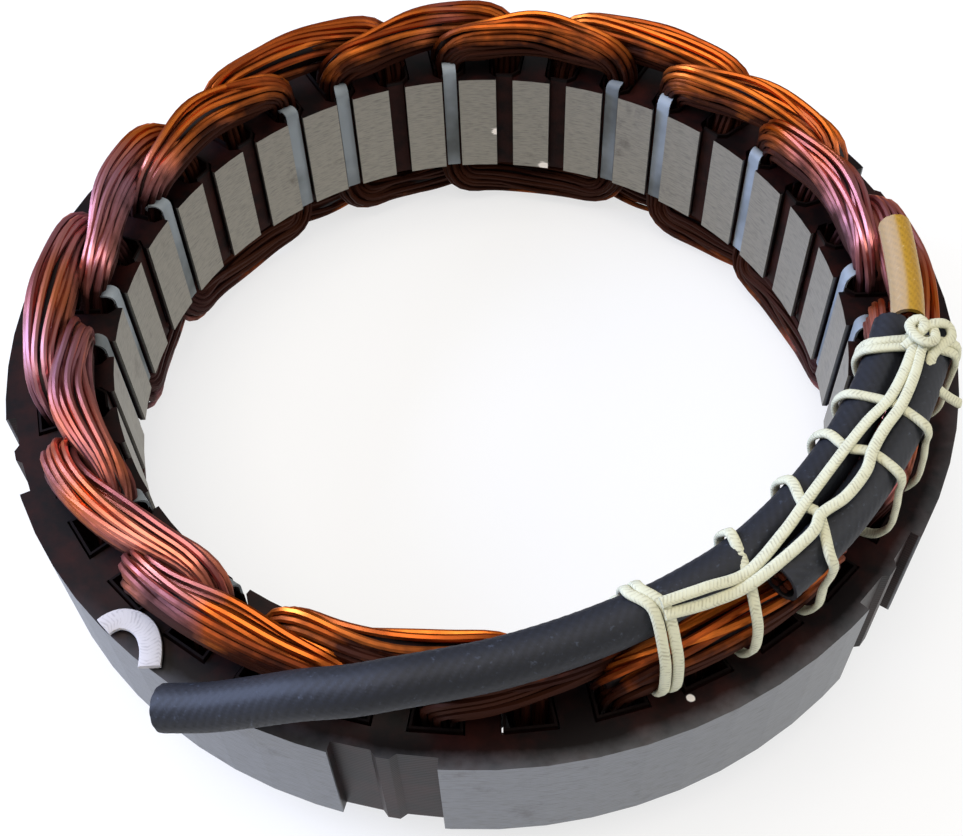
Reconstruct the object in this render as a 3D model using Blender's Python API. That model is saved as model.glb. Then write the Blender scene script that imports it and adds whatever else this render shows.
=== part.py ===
"""Wound stator of a small three-phase generator.

A ring of steel laminations with 36 slots carries eighteen lap coils in two layers. Each slot has a folded
liner, and sleeved leads are laced on top of the winding head. Metres, +Z up. The origin is on the bore's
axis, level with the underside of the lower winding head.
"""

import math

import bmesh
import bpy
from mathutils import Vector

MM = 0.001

# Laminated core. Turns are measured clockwise from +Y as seen from above, and angles here are in degrees.
BORE_RADIUS = 49.8 * MM
SLOT_DEPTH = 10.2 * MM
YOKE_WIDTH = 4.0 * MM
STACK_LENGTH = 18.4 * MM
SLOT_COUNT = 36
FIRST_TOOTH_ANGLE = 1.3
TOOTH_TIP_WIDTH = 5.96 * MM
TOOTH_BODY_WIDTH = 3.9 * MM
TIP_LIP = 0.7 * MM
TIP_SLOPE = 1.0 * MM
RIM_STEP_ANGLE = 5
CORE_SHARP_ANGLE = 25

# Weld recesses in the rim, each centred on a tooth, with its bead of weld down the middle.
RECESS_COUNT = 6
FIRST_RECESS_TOOTH = 1
RECESS_WIDTH = 12.4 * MM
RECESS_DEPTH = 1.3 * MM
WELD_BEAD_WIDTH = 3.0 * MM
WELD_BEAD_HEIGHT = 0.7 * MM

# Slot liners.
LINER_THICKNESS = 0.3 * MM
SEAT_GAP = 0.25 * MM
LINER_PROUD = 0.4 * MM
FLAP_TAB_HEIGHT = 2.6 * MM

# Coils. Every coil spans three slots. The heads lie in an inner and an outer layer over the teeth. A bend
# station is its angle in degrees, and how much of the change from leg to head is done there.
COIL_SPAN = 3
COILS_PER_PHASE = 6
HEAD_CLEARANCE = 3.0 * MM
HEAD_THICKNESS = 6.8 * MM
HEAD_SWELL = 1.6 * MM
HEAD_SETBACK = 1.5 * MM
RIM_LAND = 4.6 * MM
LAYER_GAP = 0.3 * MM
BEND_RADIUS = 5.0 * MM
LEG_SETBACK = 2.0 * MM
LEG_STRAIGHT = 0.6 * MM
BEND_STATIONS = ((0, 0.65), (25, 1.0), (57, 1.0), (90, 1.0))
COIL_SHARP_ANGLE = 50
CROSSING_WIDTH = 2.8 * MM
FIRST_SLOT = {"a": -0.5, "b": 1.5, "c": 3.5}
CROSSING_SLOTS = (1.3, 1.7)

# Sleeved leads. A route gives the place in teeth, the distance out from the heads' inner edge in
# millimetres, and the drop below the height at which the sleeve rests on the heads.
TOUCH_GAP = 0.3 * MM
BLACK_SLEEVE_DIAMETER = 5.4 * MM
YELLOW_SLEEVE_DIAMETER = 4.4 * MM
LONG_SLEEVE_ROUTE = (
    (10.55, 1.6, 0),
    (11.1, 1.2, 0),
    (11.8, 0.9, 0),
    (12.6, 0.9, 0),
    (13.4, 1.2, 0),
    (14.2, 1.8, 0),
    (15.0, 2.6, 0),
    (15.9, 3.4, 0),
    (16.5, 4.1, 0),
    (17.15, 5.1, 0),
    (17.8, 6.4, 0),
    (18.3, 7.5, 0),
    (18.8, 8.9, 0),
    (19.25, 10.1, 1.0),
    (19.75, 11.1, 2.8),
    (20.22, 12.2, 5.8),
    (20.7, 13.8, 8.8),
    (21.15, 15.7, 10.8),
)
SHORT_SLEEVE_ROUTE = (
    (10.6, 7.4, 0),
    (11.2, 6.95, 0),
    (12.0, 6.7, 0),
    (12.8, 6.75, 0),
    (13.5, 7.05, 0),
    (14.2, 7.6, 0),
    (15.0, 8.4, 0),
)
YELLOW_SLEEVE_ROUTE = ((8.15, 4.3, 0), (8.6, 3.7, 0), (9.2, 3.4, 0), (9.8, 3.4, 0), (10.3, 3.5, 0))

# Lacing cord, a flat cord wound once round heads and sleeves over each tooth. Its turn over a sleeve is
# given in degrees round the sleeve, from outwards and up. Its last tail gives places in teeth, millimetres
# out from the heads' inner edge, and millimetres above the core.
CORD_WIDTH = 1.5 * MM
CORD_THICKNESS = 0.9 * MM
LACED_TEETH = (11, 12, 13, 14, 15, 16)
CORD_ADVANCE = 0.13
STRAND_OFFSET = 1.2 * MM
OVER_LONE_SLEEVE = (90, 60, 30, 0)
OVER_OUTER_SLEEVE = (90, 60, 30, 0, -30)
OVER_INNER_SLEEVE = (200, 175, 150, 120, 95)
KNOT_TAIL_ROUTE = (
    (10.72, 5.9, 17.2),
    (10.5, 8.3, 16.2),
    (10.3, 10.4, 12.4),
    (10.2, 11.3, 7.0),
    (10.25, 11.7, 3.2),
    (10.5, 11.6, 1.7),
)

# A loose loop of the same cord, pressed flat on the core's end face, with its ends at the rim.
TAIL_LOOP_TOOTH = 22.05
TAIL_LOOP_WIDTH = 2.2 * MM
TAIL_LOOP_RADIUS = 2.8 * MM
TAIL_LOOP_EDGE = 0.2 * MM

# Sizes that follow from the ones above.
PITCH_ANGLE = 2 * math.pi / SLOT_COUNT
CORE_BOTTOM = HEAD_CLEARANCE + HEAD_THICKNESS
CORE_TOP = CORE_BOTTOM + STACK_LENGTH
SLOT_FLOOR = BORE_RADIUS + SLOT_DEPTH
CORE_RADIUS = SLOT_FLOOR + YOKE_WIDTH
LEG_INNER = BORE_RADIUS + LEG_SETBACK
LEG_OUTER = SLOT_FLOOR - 2 * SEAT_GAP - LINER_THICKNESS
HEAD_INNER = BORE_RADIUS + HEAD_SETBACK
HEAD_OUTER = CORE_RADIUS - RIM_LAND
LAYER_WIDTH = (HEAD_OUTER - HEAD_INNER - LAYER_GAP) / 2
HEAD_MIDDLE = HEAD_CLEARANCE + HEAD_THICKNESS / 2
HEAD_TOP = HEAD_CLEARANCE + HEAD_THICKNESS

# A coil's section is a rectangle with cut corners, given in shares of its half width and half thickness.
FLAT_WIDTH = 0.5
FLAT_SIDE = 0.6
SECTION = (
    (1, FLAT_SIDE),
    (FLAT_WIDTH, 1),
    (-FLAT_WIDTH, 1),
    (-1, FLAT_SIDE),
    (-1, -FLAT_SIDE),
    (-FLAT_WIDTH, -1),
    (FLAT_WIDTH, -1),
    (1, -FLAT_SIDE),
)


def turn_of(tooth):
    """Turn of a place counted in teeth: whole numbers are teeth, and halves are slots."""
    return math.radians(FIRST_TOOTH_ANGLE) + PITCH_ANGLE * tooth


def outward(turn):
    """Unit vector from the axis towards a turn."""
    return Vector((math.sin(turn), math.cos(turn), 0))


def along(turn):
    """Unit vector along the ring, in the way the turns grow."""
    return Vector((math.cos(turn), -math.sin(turn), 0))


def at(tooth, radius, height):
    """Point at a place round the ring, a radius and a height above the core's top face."""
    return outward(turn_of(tooth)) * radius + Vector((0, 0, CORE_TOP + height))


def slot_half_width(radius):
    """Half the gap between two tooth bodies, square to the slot's middle line."""
    half = PITCH_ANGLE / 2
    return (radius * math.sin(half) - TOOTH_BODY_WIDTH / 2) / math.cos(half)


def new_object(name, bm, material):
    """Object made from a bmesh, with its faces turned outwards and one material."""
    bmesh.ops.recalc_face_normals(bm, faces=bm.faces)
    mesh = bpy.data.meshes.new(name)
    bm.to_mesh(mesh)
    bm.free()
    mesh.materials.append(material)
    item = bpy.data.objects.new(name, mesh)
    bpy.context.scene.collection.objects.link(item)
    return item


def smooth(item, sharp_above):
    """Shades an object smooth, and keeps edges over an angle sharp."""
    item.data.shade_smooth()
    item.data.set_sharp_from_angle(angle=math.radians(sharp_above))


def skin(rings, closed):
    """Closed surface over a run of rings with as many points each. An open run gets end caps."""
    bm = bmesh.new()
    loops = [[bm.verts.new(point) for point in ring] for ring in rings]
    pairs = list(zip(loops, loops[1:]))
    if closed:
        pairs.append((loops[-1], loops[0]))
    else:
        bm.faces.new(loops[0])
        bm.faces.new(loops[-1])
    for first, second in pairs:
        for i in range(len(first)):
            j = (i + 1) % len(first)
            bm.faces.new((first[i], first[j], second[j], second[i]))
    return bm


def tooth_outline(tooth):
    """Edge of one tooth and the slot after it, from the tip's near corner to the slot floor's far corner."""
    tip = TOOTH_TIP_WIDTH / 2 / BORE_RADIUS
    middle = turn_of(tooth)
    points = [outward(middle + side * tip) * BORE_RADIUS for side in (-1, 0, 1)]
    slot = middle + PITCH_ANGLE / 2
    mouth = PITCH_ANGLE / 2 - tip
    shoulder = BORE_RADIUS + TIP_LIP + TIP_SLOPE
    rising = [outward(slot - mouth) * (BORE_RADIUS + TIP_LIP)]
    rising += [slot_point(slot, -slot_half_width(r), r) for r in (shoulder, SLOT_FLOOR)]
    falling = [slot_point(slot, slot_half_width(r), r) for r in (SLOT_FLOOR, shoulder)]
    falling += [outward(slot + mouth) * (BORE_RADIUS + TIP_LIP)]
    return points + rising + falling


def slot_point(slot, across, radius):
    """Point in a slot's own axes: along its middle line, and square to it."""
    return outward(slot) * radius + along(slot) * across


def recess_outline(middle):
    """Edge of one weld recess with its bead, in turns and radii."""
    half = RECESS_WIDTH / 2 / CORE_RADIUS
    bead = WELD_BEAD_WIDTH / 2 / CORE_RADIUS
    floor = CORE_RADIUS - RECESS_DEPTH
    crest = floor + WELD_BEAD_HEIGHT
    half_edge = [(-half, CORE_RADIUS), (-half, floor), (-bead, floor), (-bead / 2, crest)]
    far_edge = [(-turn, radius) for turn, radius in reversed(half_edge)]
    return [(middle + turn, radius) for turn, radius in half_edge + far_edge]


def rim_outline():
    """Outer edge of a lamination, in order round the ring."""
    spacing = 2 * math.pi / RECESS_COUNT
    half = RECESS_WIDTH / 2 / CORE_RADIUS
    middles = [turn_of(FIRST_RECESS_TOOTH) + spacing * n for n in range(RECESS_COUNT)]
    edge = []
    for middle in middles:
        edge += recess_outline(middle)
    step = math.radians(RIM_STEP_ANGLE)
    for n in range(round(2 * math.pi / step)):
        turn = n * step
        nearest = min(abs((turn - middle + math.pi) % (2 * math.pi) - math.pi) for middle in middles)
        if nearest > half + step / 10:
            edge.append((turn, CORE_RADIUS))
    edge.sort(key=lambda point: point[0] % (2 * math.pi))
    return [outward(turn) * radius for turn, radius in edge]


def ring_edges(bm, points, height):
    """Closed loop of edges through points lifted to a height."""
    verts = [bm.verts.new(point + Vector((0, 0, height))) for point in points]
    return [bm.edges.new((verts[i - 1], verts[i])) for i in range(len(verts))]


def make_core(material):
    """The stack of laminations, as one welded and varnished ring."""
    bm = bmesh.new()
    bore = []
    for tooth in range(SLOT_COUNT):
        bore += tooth_outline(tooth)
    edges = ring_edges(bm, bore, CORE_BOTTOM) + ring_edges(bm, rim_outline(), CORE_BOTTOM)
    bmesh.ops.triangle_fill(bm, edges=edges, use_beauty=True)
    raised = bmesh.ops.extrude_face_region(bm, geom=bm.faces[:])
    top = [item for item in raised["geom"] if isinstance(item, bmesh.types.BMVert)]
    bmesh.ops.translate(bm, verts=top, vec=(0, 0, STACK_LENGTH))
    core = new_object("stator_core", bm, material)
    smooth(core, CORE_SHARP_ANGLE)


def liner_path():
    """Middle line of a liner's sheet in slot axes, from its cut edge round the slot to the closing flap."""
    off = SEAT_GAP + LINER_THICKNESS / 2
    floor = SLOT_FLOOR - off
    shoulder = BORE_RADIUS + TIP_LIP + TIP_SLOPE + off
    flap = BORE_RADIUS + TIP_LIP + off
    mouth = (BORE_RADIUS + TIP_LIP) * math.sin(PITCH_ANGLE / 2 - TOOTH_TIP_WIDTH / 2 / BORE_RADIUS)
    wall = slot_half_width(shoulder) - off
    deep = slot_half_width(floor) - off
    return [
        (-wall, shoulder + 2 * off),
        (-deep, floor),
        (deep, floor),
        (wall, shoulder),
        (mouth - off / 2, flap),
        (-mouth, flap),
    ]


def sheet_sides(path, thickness):
    """The two sides of a sheet that follows a path, with mitred corners."""
    points = [Vector((x, y, 0)) for x, y in path]
    steps = [(b - a).normalized() for a, b in zip(points, points[1:])]
    normals = [Vector((-step.y, step.x, 0)) for step in steps]
    sides = ([], [])
    for i, point in enumerate(points):
        first = normals[max(i - 1, 0)]
        second = normals[min(i, len(normals) - 1)]
        mitre = (first + second).normalized()
        reach = thickness / 2 / max(mitre.dot(first), 0.5)
        sides[0].append(point + mitre * reach)
        sides[1].append(point - mitre * reach)
    return sides


def liner_mesh(with_tab):
    """A folded liner for the slot on +Y. Its flap stands up past the core where it has a tab."""
    bm = bmesh.new()
    left, right = sheet_sides(liner_path(), LINER_THICKNESS)
    bottom = Vector((0, 0, CORE_BOTTOM - LINER_PROUD))
    rows = [(bm.verts.new(a + bottom), bm.verts.new(b + bottom)) for a, b in zip(left, right)]
    faces = [bm.faces.new((a[0], a[1], b[1], b[0])) for a, b in zip(rows, rows[1:])]
    raised = bmesh.ops.extrude_face_region(bm, geom=faces)
    top = [item for item in raised["geom"] if isinstance(item, bmesh.types.BMVert)]
    bmesh.ops.translate(bm, verts=top, vec=(0, 0, STACK_LENGTH + 2 * LINER_PROUD))
    if with_tab:
        caps = [item for item in raised["geom"] if isinstance(item, bmesh.types.BMFace)]
        flap = min(caps, key=lambda face: face.calc_center_median().y)
        tab = bmesh.ops.extrude_discrete_faces(bm, faces=[flap])["faces"][0]
        bmesh.ops.translate(bm, verts=tab.verts, vec=(0, 0, FLAP_TAB_HEIGHT - LINER_PROUD))
    return bm


def has_tab(slot_number):
    """True in the slots whose coil side comes up in the inner layer, where the liner's flap shows."""
    return slot_number % 6 in (2, 3, 5)


def make_liners(pale, brown):
    """One liner in each slot, turned from the slot on +Y."""
    for n in range(SLOT_COUNT):
        tab = has_tab(n)
        liner = new_object(f"slot_liner_{n + 1:02d}", liner_mesh(tab), pale if tab else brown)
        liner.rotation_euler.z = -turn_of(n + 0.5)


def coil_ring(tooth, height, lean, inner, outer, thickness, taper):
    """Ring of section corners. Lean is 0 where the coil runs up, and grows as it turns along the ring."""
    turn = turn_of(tooth)
    middle = outward(turn) * (inner + outer) / 2 + Vector((0, 0, height))
    radial = outward(turn) * (outer - inner) / 2
    normal = along(turn) * math.cos(lean) - Vector((0, 0, math.sin(lean)))
    half = thickness / 2
    return [middle + radial * u + normal * (v * half * (1 + taper * u)) for u, v in SECTION]


def leg_half_thickness(radius):
    """Half the room along the ring that the liner leaves for a coil's leg."""
    return slot_half_width(radius) - 2 * SEAT_GAP - LINER_THICKNESS


def leg_ring(tooth, height, lean):
    """Section in the slot: it fills the room inside the liner, and is wider towards the yoke."""
    near = leg_half_thickness(LEG_INNER)
    far = leg_half_thickness(LEG_OUTER)
    taper = (far - near) / (far + near)
    return coil_ring(tooth, height, lean, LEG_INNER, LEG_OUTER, near + far, taper)


def layer_edges(layer):
    """Inner and outer radius of a layer: 0 is the inner layer, and 1 the outer one."""
    inner = HEAD_INNER + layer * (LAYER_WIDTH + LAYER_GAP)
    return inner, inner + LAYER_WIDTH


def bend_rings(tooth, side, layer):
    """From a slot's mouth to the level head. Side is 1 where the head runs on to higher turns.

    The bend swells on its outer side, where the turns of wire spread.
    """
    inner, outer = layer_edges(layer)
    leg_thickness = leg_half_thickness(LEG_INNER) + leg_half_thickness(LEG_OUTER)
    start = HEAD_MIDDLE - BEND_RADIUS
    rings = [(tooth, LEG_STRAIGHT, 0.0, LEG_INNER, LEG_OUTER, leg_thickness)]
    for bend, share in BEND_STATIONS:
        angle = math.radians(bend)
        swell = HEAD_SWELL * math.sin(2 * angle)
        reach = BEND_RADIUS + swell / 2
        shift = (BEND_RADIUS - reach * math.cos(angle)) / (BORE_RADIUS + CORE_RADIUS) * 2 / PITCH_ANGLE
        rings.append(
            (
                tooth + side * shift,
                start + reach * math.sin(angle),
                angle,
                LEG_INNER + (inner - LEG_INNER) * share,
                LEG_OUTER + (outer - LEG_OUTER) * share,
                leg_thickness + (HEAD_THICKNESS - leg_thickness) * share + swell,
            )
        )
    return rings


def level_rings(first, phase):
    """Level part of a head, between its two bends."""
    if phase == "a":
        return [(first + share, *layer_edges(0)) for share in (1.0, 1.5, 2.0)]
    if phase == "b":
        return [(first + share, *layer_edges(1)) for share in (1.0, 1.5, 2.0)]
    inner, outer = layer_edges(0), layer_edges(1)
    near, far = CROSSING_SLOTS
    return [
        (first + 1.0, *inner),
        (first + near, inner[1] - CROSSING_WIDTH / 2, inner[1]),
        (first + far, outer[0], outer[0] + CROSSING_WIDTH / 2),
        (first + 2.0, *outer),
    ]


def head_rings(first, phase):
    """Stations over the teeth, from one slot's leg to the other's, with heights above the core."""
    layers = {"a": (0, 0), "b": (1, 1), "c": (0, 1)}[phase]
    rising = bend_rings(first, 1, layers[0])
    falling = bend_rings(first + COIL_SPAN, -1, layers[1])
    level = [
        (tooth, HEAD_MIDDLE, math.pi / 2, inner, outer, HEAD_THICKNESS)
        for tooth, inner, outer in level_rings(first, phase)
    ]
    turned = [(t, z, math.pi - lean, a, b, h) for t, z, lean, a, b, h in reversed(falling)]
    return rising + level + turned


def coil_rings(phase):
    """All stations of one coil, as a closed loop through its two slots."""
    rings = []
    head = head_rings(FIRST_SLOT[phase], phase)
    for tooth, height, lean, inner, outer, thickness in head:
        rings.append(coil_or_leg(tooth, CORE_TOP + height, lean, inner, outer, thickness))
    for tooth, height, lean, inner, outer, thickness in reversed(head):
        rings.append(coil_or_leg(tooth, CORE_BOTTOM - height, 2 * math.pi - lean, inner, outer, thickness))
    return rings


def coil_or_leg(tooth, height, lean, inner, outer, thickness):
    """A leg's own section where the coil is as deep as the slot, and a plain one elsewhere."""
    if (inner, outer) == (LEG_INNER, LEG_OUTER):
        return leg_ring(tooth, height, lean)
    return coil_ring(tooth, height, lean, inner, outer, thickness, 0.0)


def make_coils(material):
    """Six coils to each phase, all turned from the first one."""
    for phase in FIRST_SLOT:
        first = new_object(f"phase_{phase}_coil_1", skin(coil_rings(phase), True), material)
        smooth(first, COIL_SHARP_ANGLE)
        for n in range(1, COILS_PER_PHASE):
            coil = bpy.data.objects.new(f"phase_{phase}_coil_{n + 1}", first.data)
            coil.rotation_euler.z = -2 * math.pi * n / COILS_PER_PHASE
            bpy.context.scene.collection.objects.link(coil)


def smooth_route(points, spacing):
    """Points at an even spacing on a smooth curve through the given ones."""
    ends = [points[0] * 2 - points[1], *points, points[-1] * 2 - points[-2]]
    fine = []
    for a, b, c, d in zip(ends, ends[1:], ends[2:], ends[3:]):
        for step in range(20):
            t = step / 20
            line = (c - a) * (0.5 * t)
            bow = (a * 2 - b * 5 + c * 4 - d) * (0.5 * t**2)
            twist = (b * 3 - a - c * 3 + d) * (0.5 * t**3)
            fine.append(b + line + bow + twist)
    fine.append(points[-1])
    return evenly(fine, spacing)


def evenly(fine, spacing):
    """Points along a fine line, about one spacing apart."""
    lengths = [0.0]
    for a, b in zip(fine, fine[1:]):
        lengths.append(lengths[-1] + (b - a).length)
    count = max(2, round(lengths[-1] / spacing))
    route = []
    place = 0
    for i in range(count + 1):
        goal = lengths[-1] * i / count
        while place < len(fine) - 2 and lengths[place + 1] < goal:
            place += 1
        share = (goal - lengths[place]) / (lengths[place + 1] - lengths[place])
        route.append(fine[place].lerp(fine[place + 1], min(share, 1)))
    return route


def rest_height(diameter):
    """Height above the core of a sleeve's middle line where it lies on the heads."""
    return HEAD_TOP + TOUCH_GAP + diameter / 2


def make_sleeve(name, route, diameter, material):
    """A sleeve with its lead inside, as a round bar along its route."""
    height = rest_height(diameter)
    points = [at(tooth, HEAD_INNER + out * MM, height - drop * MM) for tooth, out, drop in route]
    curve = bpy.data.curves.new(name, "CURVE")
    curve.dimensions = "3D"
    curve.bevel_depth = diameter / 2
    curve.bevel_resolution = 3
    curve.use_fill_caps = True
    line = smooth_route(points, diameter * 0.7)
    spline = curve.splines.new("POLY")
    spline.points.add(len(line) - 1)
    for target, point in zip(spline.points, line):
        target.co = (*point, 1)
    curve.materials.append(material)
    item = bpy.data.objects.new(name, curve)
    bpy.context.scene.collection.objects.link(item)


def radius_on(route, tooth):
    """Radius of a sleeve's middle line at a place round the ring."""
    for (near, first, _), (far, second, _) in zip(route, route[1:]):
        if tooth <= far:
            share = (tooth - near) / (far - near)
            return HEAD_INNER + (first + (second - first) * share) * MM
    return HEAD_INNER + route[-1][1] * MM


def wrap_points(tooth):
    """One turn of the cord: over the sleeves, down outside, under the heads and up inside.

    It moves on round the ring near its two ends only, so that it stays between the coils' necks.
    """
    off = TOUCH_GAP + CORD_THICKNESS / 2
    reach = BLACK_SLEEVE_DIAMETER / 2 + off
    height = rest_height(BLACK_SLEEVE_DIAMETER)
    inner_middle = radius_on(LONG_SLEEVE_ROUTE, tooth)
    section = around(inner_middle, height, reach, OVER_LONE_SLEEVE)
    if tooth <= SHORT_SLEEVE_ROUTE[-1][0]:
        outer_middle = radius_on(SHORT_SLEEVE_ROUTE, tooth)
        section = around(outer_middle, height, reach, OVER_OUTER_SLEEVE)
    flat = FLAT_SIDE * HEAD_THICKNESS / 2
    low, high = HEAD_MIDDLE - flat, HEAD_MIDDLE + flat
    under = HEAD_CLEARANCE / 2
    section += [(HEAD_OUTER + off, high), (HEAD_OUTER + off, low), (HEAD_OUTER - off, under)]
    section += [(HEAD_INNER + off, under), (HEAD_INNER - off, low), (HEAD_INNER - off, high)]
    section += around(inner_middle, height, reach, OVER_INNER_SLEEVE)
    last = len(section) - 1
    places = [tooth + CORD_ADVANCE * (2 * i / last - 1) ** 3 for i in range(last + 1)]
    return [at(place, *point) for place, point in zip(places, section)]


def around(middle, height, reach, angles):
    """Points on a circle in a plane through the axis, at angles from the outward direction."""
    turns = [math.radians(angle) for angle in angles]
    return [(middle + reach * math.cos(turn), height + reach * math.sin(turn)) for turn in turns]


def strand_place(tooth, side, lift):
    """A place for a strand on top of the sleeves. Side is -1 for the way out and 1 for the way back."""
    middle = radius_on(LONG_SLEEVE_ROUTE, tooth) + BLACK_SLEEVE_DIAMETER / 2
    top = rest_height(BLACK_SLEEVE_DIAMETER) + BLACK_SLEEVE_DIAMETER / 2 + TOUCH_GAP
    return at(tooth, middle + side * STRAND_OFFSET, top + lift)


def lacing_route():
    """The cord from the knot, round each laced tooth, and back along the top to its tail."""
    lying = CORD_THICKNESS * 0.35
    crossing = CORD_THICKNESS + TOUCH_GAP * 1.6
    route = [strand_place(LACED_TEETH[0] - 0.3, -1, lying)]
    for tooth in LACED_TEETH:
        route.append(strand_place(tooth - 2.2 * CORD_ADVANCE, -1, lying))
        route += wrap_points(tooth)
        if tooth != LACED_TEETH[-1]:
            route.append(strand_place(tooth + 2.2 * CORD_ADVANCE, -1, lying))
    last = LACED_TEETH[-1] + 3 * CORD_ADVANCE
    route += [strand_place(last, -0.6, lying), strand_place(last + 0.05, 0.5, crossing)]
    for tooth in reversed(LACED_TEETH):
        route.append(strand_place(tooth, 1, crossing))
        route.append(strand_place(tooth - 0.5, 1, lying))
    route.pop()
    return route


def tape_rings(points, normals, width):
    """Sections of the flat cord along points, each with its flat side square to its normal."""
    rings = []
    for i, point in enumerate(points):
        ahead = points[min(i + 1, len(points) - 1)] - points[max(i - 1, 0)]
        across = ahead.cross(normals[i]).normalized() * width / 2
        lift = across.cross(ahead).normalized() * CORD_THICKNESS / 2
        corners = (across + lift, lift - across, -across - lift, across - lift)
        rings.append([point + corner for corner in corners])
    return rings


def bundle_middle(point):
    """Middle of the laced bundle of heads and sleeves, at the same turn as a point."""
    height = CORE_TOP + (HEAD_MIDDLE + rest_height(BLACK_SLEEVE_DIAMETER)) / 2
    radial = Vector((point.x, point.y, 0)).normalized()
    return radial * (HEAD_INNER + HEAD_OUTER) / 2 + Vector((0, 0, height))


def make_lacing(material):
    """The lacing cord in one length, its flat side on what it lies on."""
    points = lacing_route()
    points += [at(tooth, HEAD_INNER + out * MM, height * MM) for tooth, out, height in KNOT_TAIL_ROUTE]
    normals = [(point - bundle_middle(point)).normalized() for point in points]
    new_object("lacing_cord", skin(tape_rings(points, normals, CORD_WIDTH), False), material)


def make_tail_loop(material):
    """A loose loop of the same cord, lying flat on the core's end face at the rim."""
    middle = CORE_RADIUS - TAIL_LOOP_EDGE
    points = []
    for step in range(9):
        angle = math.pi * step / 8
        radius = middle - TAIL_LOOP_RADIUS * math.sin(angle)
        shift = TAIL_LOOP_RADIUS * math.cos(angle) / middle / PITCH_ANGLE
        points.append(at(TAIL_LOOP_TOOTH + shift, radius, TOUCH_GAP + CORD_THICKNESS / 2))
    normals = [Vector((0, 0, 1))] * len(points)
    new_object("cord_tail_loop", skin(tape_rings(points, normals, TAIL_LOOP_WIDTH), False), material)


def new_material(name, colour, roughness, metallic):
    """A Principled BSDF with one colour."""
    material = bpy.data.materials.new(name)
    material.use_nodes = True
    shader = material.node_tree.nodes["Principled BSDF"]
    shader.inputs["Base Color"].default_value = (*colour, 1)
    shader.inputs["Roughness"].default_value = roughness
    shader.inputs["Metallic"].default_value = metallic
    material.diffuse_color = (*colour, 1)
    return material


def main():
    """Clears the scene and builds the stator."""
    for item in list(bpy.data.objects):
        bpy.data.objects.remove(item)
    make_core(new_material("core_steel", (0.36, 0.34, 0.31), 0.45, 0.9))
    pale = new_material("liner_pale", (0.60, 0.62, 0.62), 0.6, 0.0)
    brown = new_material("liner_brown", (0.07, 0.03, 0.02), 0.5, 0.0)
    make_liners(pale, brown)
    make_coils(new_material("copper_wire", (0.62, 0.22, 0.07), 0.35, 0.6))
    black = new_material("black_sleeving", (0.02, 0.025, 0.035), 0.7, 0.0)
    make_sleeve("long_lead_sleeve", LONG_SLEEVE_ROUTE, BLACK_SLEEVE_DIAMETER, black)
    make_sleeve("short_lead_sleeve", SHORT_SLEEVE_ROUTE, BLACK_SLEEVE_DIAMETER, black)
    yellow = new_material("yellow_sleeving", (0.70, 0.48, 0.09), 0.45, 0.0)
    make_sleeve("yellow_lead_sleeve", YELLOW_SLEEVE_ROUTE, YELLOW_SLEEVE_DIAMETER, yellow)
    cream = new_material("lacing_cord", (0.72, 0.69, 0.50), 0.8, 0.0)
    make_lacing(cream)
    make_tail_loop(cream)


main()
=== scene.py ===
"""Looks of a wound stator: laminated core, wound copper coils, slot liners, sleeved leads and their lacing.

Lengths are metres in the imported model's frame, with +Z up and the bore's axis on Z. Places round the ring
are counted in teeth, clockwise from +Y as seen from above: whole numbers are teeth, and halves are slots.
"""

import logging
import math
from dataclasses import dataclass
from enum import Enum, IntEnum
from typing import Any

import bpy
import numpy as np
from bpy.types import Material, Node, NodeSocket, NodeTree, Object
from mathutils import Matrix, Vector


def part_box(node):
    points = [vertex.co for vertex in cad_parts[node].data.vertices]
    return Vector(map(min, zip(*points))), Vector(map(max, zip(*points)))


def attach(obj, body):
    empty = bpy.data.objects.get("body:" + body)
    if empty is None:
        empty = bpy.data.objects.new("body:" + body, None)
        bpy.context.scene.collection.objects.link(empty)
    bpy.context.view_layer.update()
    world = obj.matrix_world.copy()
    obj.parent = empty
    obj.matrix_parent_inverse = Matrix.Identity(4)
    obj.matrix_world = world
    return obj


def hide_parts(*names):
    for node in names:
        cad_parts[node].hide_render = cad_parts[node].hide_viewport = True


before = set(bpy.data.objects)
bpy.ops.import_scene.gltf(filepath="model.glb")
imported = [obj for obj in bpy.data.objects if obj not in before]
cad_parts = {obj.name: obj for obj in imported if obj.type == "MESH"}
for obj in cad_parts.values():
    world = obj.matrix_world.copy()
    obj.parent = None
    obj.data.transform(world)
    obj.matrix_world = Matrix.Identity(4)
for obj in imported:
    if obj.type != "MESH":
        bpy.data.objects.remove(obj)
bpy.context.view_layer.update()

LOG = logging.getLogger("wound_stator")
MM = 0.001
BODY = "root"
SHARP_ANGLE = math.radians(50)
NONE = np.zeros((1, 1))
Array = np.ndarray
Route = tuple[tuple[float, ...], ...]


def linear(colour: str) -> tuple[float, float, float, float]:
    """Turns an sRGB hex colour to linear light.

    Args:
        colour: six hex digits, such as "C87A3C".

    Returns:
        Red, green, blue and an alpha of 1.
    """
    shares = [int(colour[i : i + 2], 16) / 255 for i in (0, 2, 4)]
    light = [s / 12.92 if s <= 0.04045 else ((s + 0.055) / 1.055) ** 2.4 for s in shares]
    return (light[0], light[1], light[2], 1.0)


def feed(tree: NodeTree, node: Node, sockets: dict[Any, Any]) -> None:
    """Sets or links a node's inputs.

    Args:
        tree: the material's node tree.
        node: the node.
        sockets: input name or number to a value, a hex colour, the output that feeds it, or a node whose
            first output in use does.
    """
    for name, value in sockets.items():
        if isinstance(value, str):
            value = linear(value)
        if isinstance(value, Node):
            value = next(output for output in value.outputs if output.enabled)
        if isinstance(value, NodeSocket):
            tree.links.new(value, node.inputs[name])
        else:
            node.inputs[name].default_value = value


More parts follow.
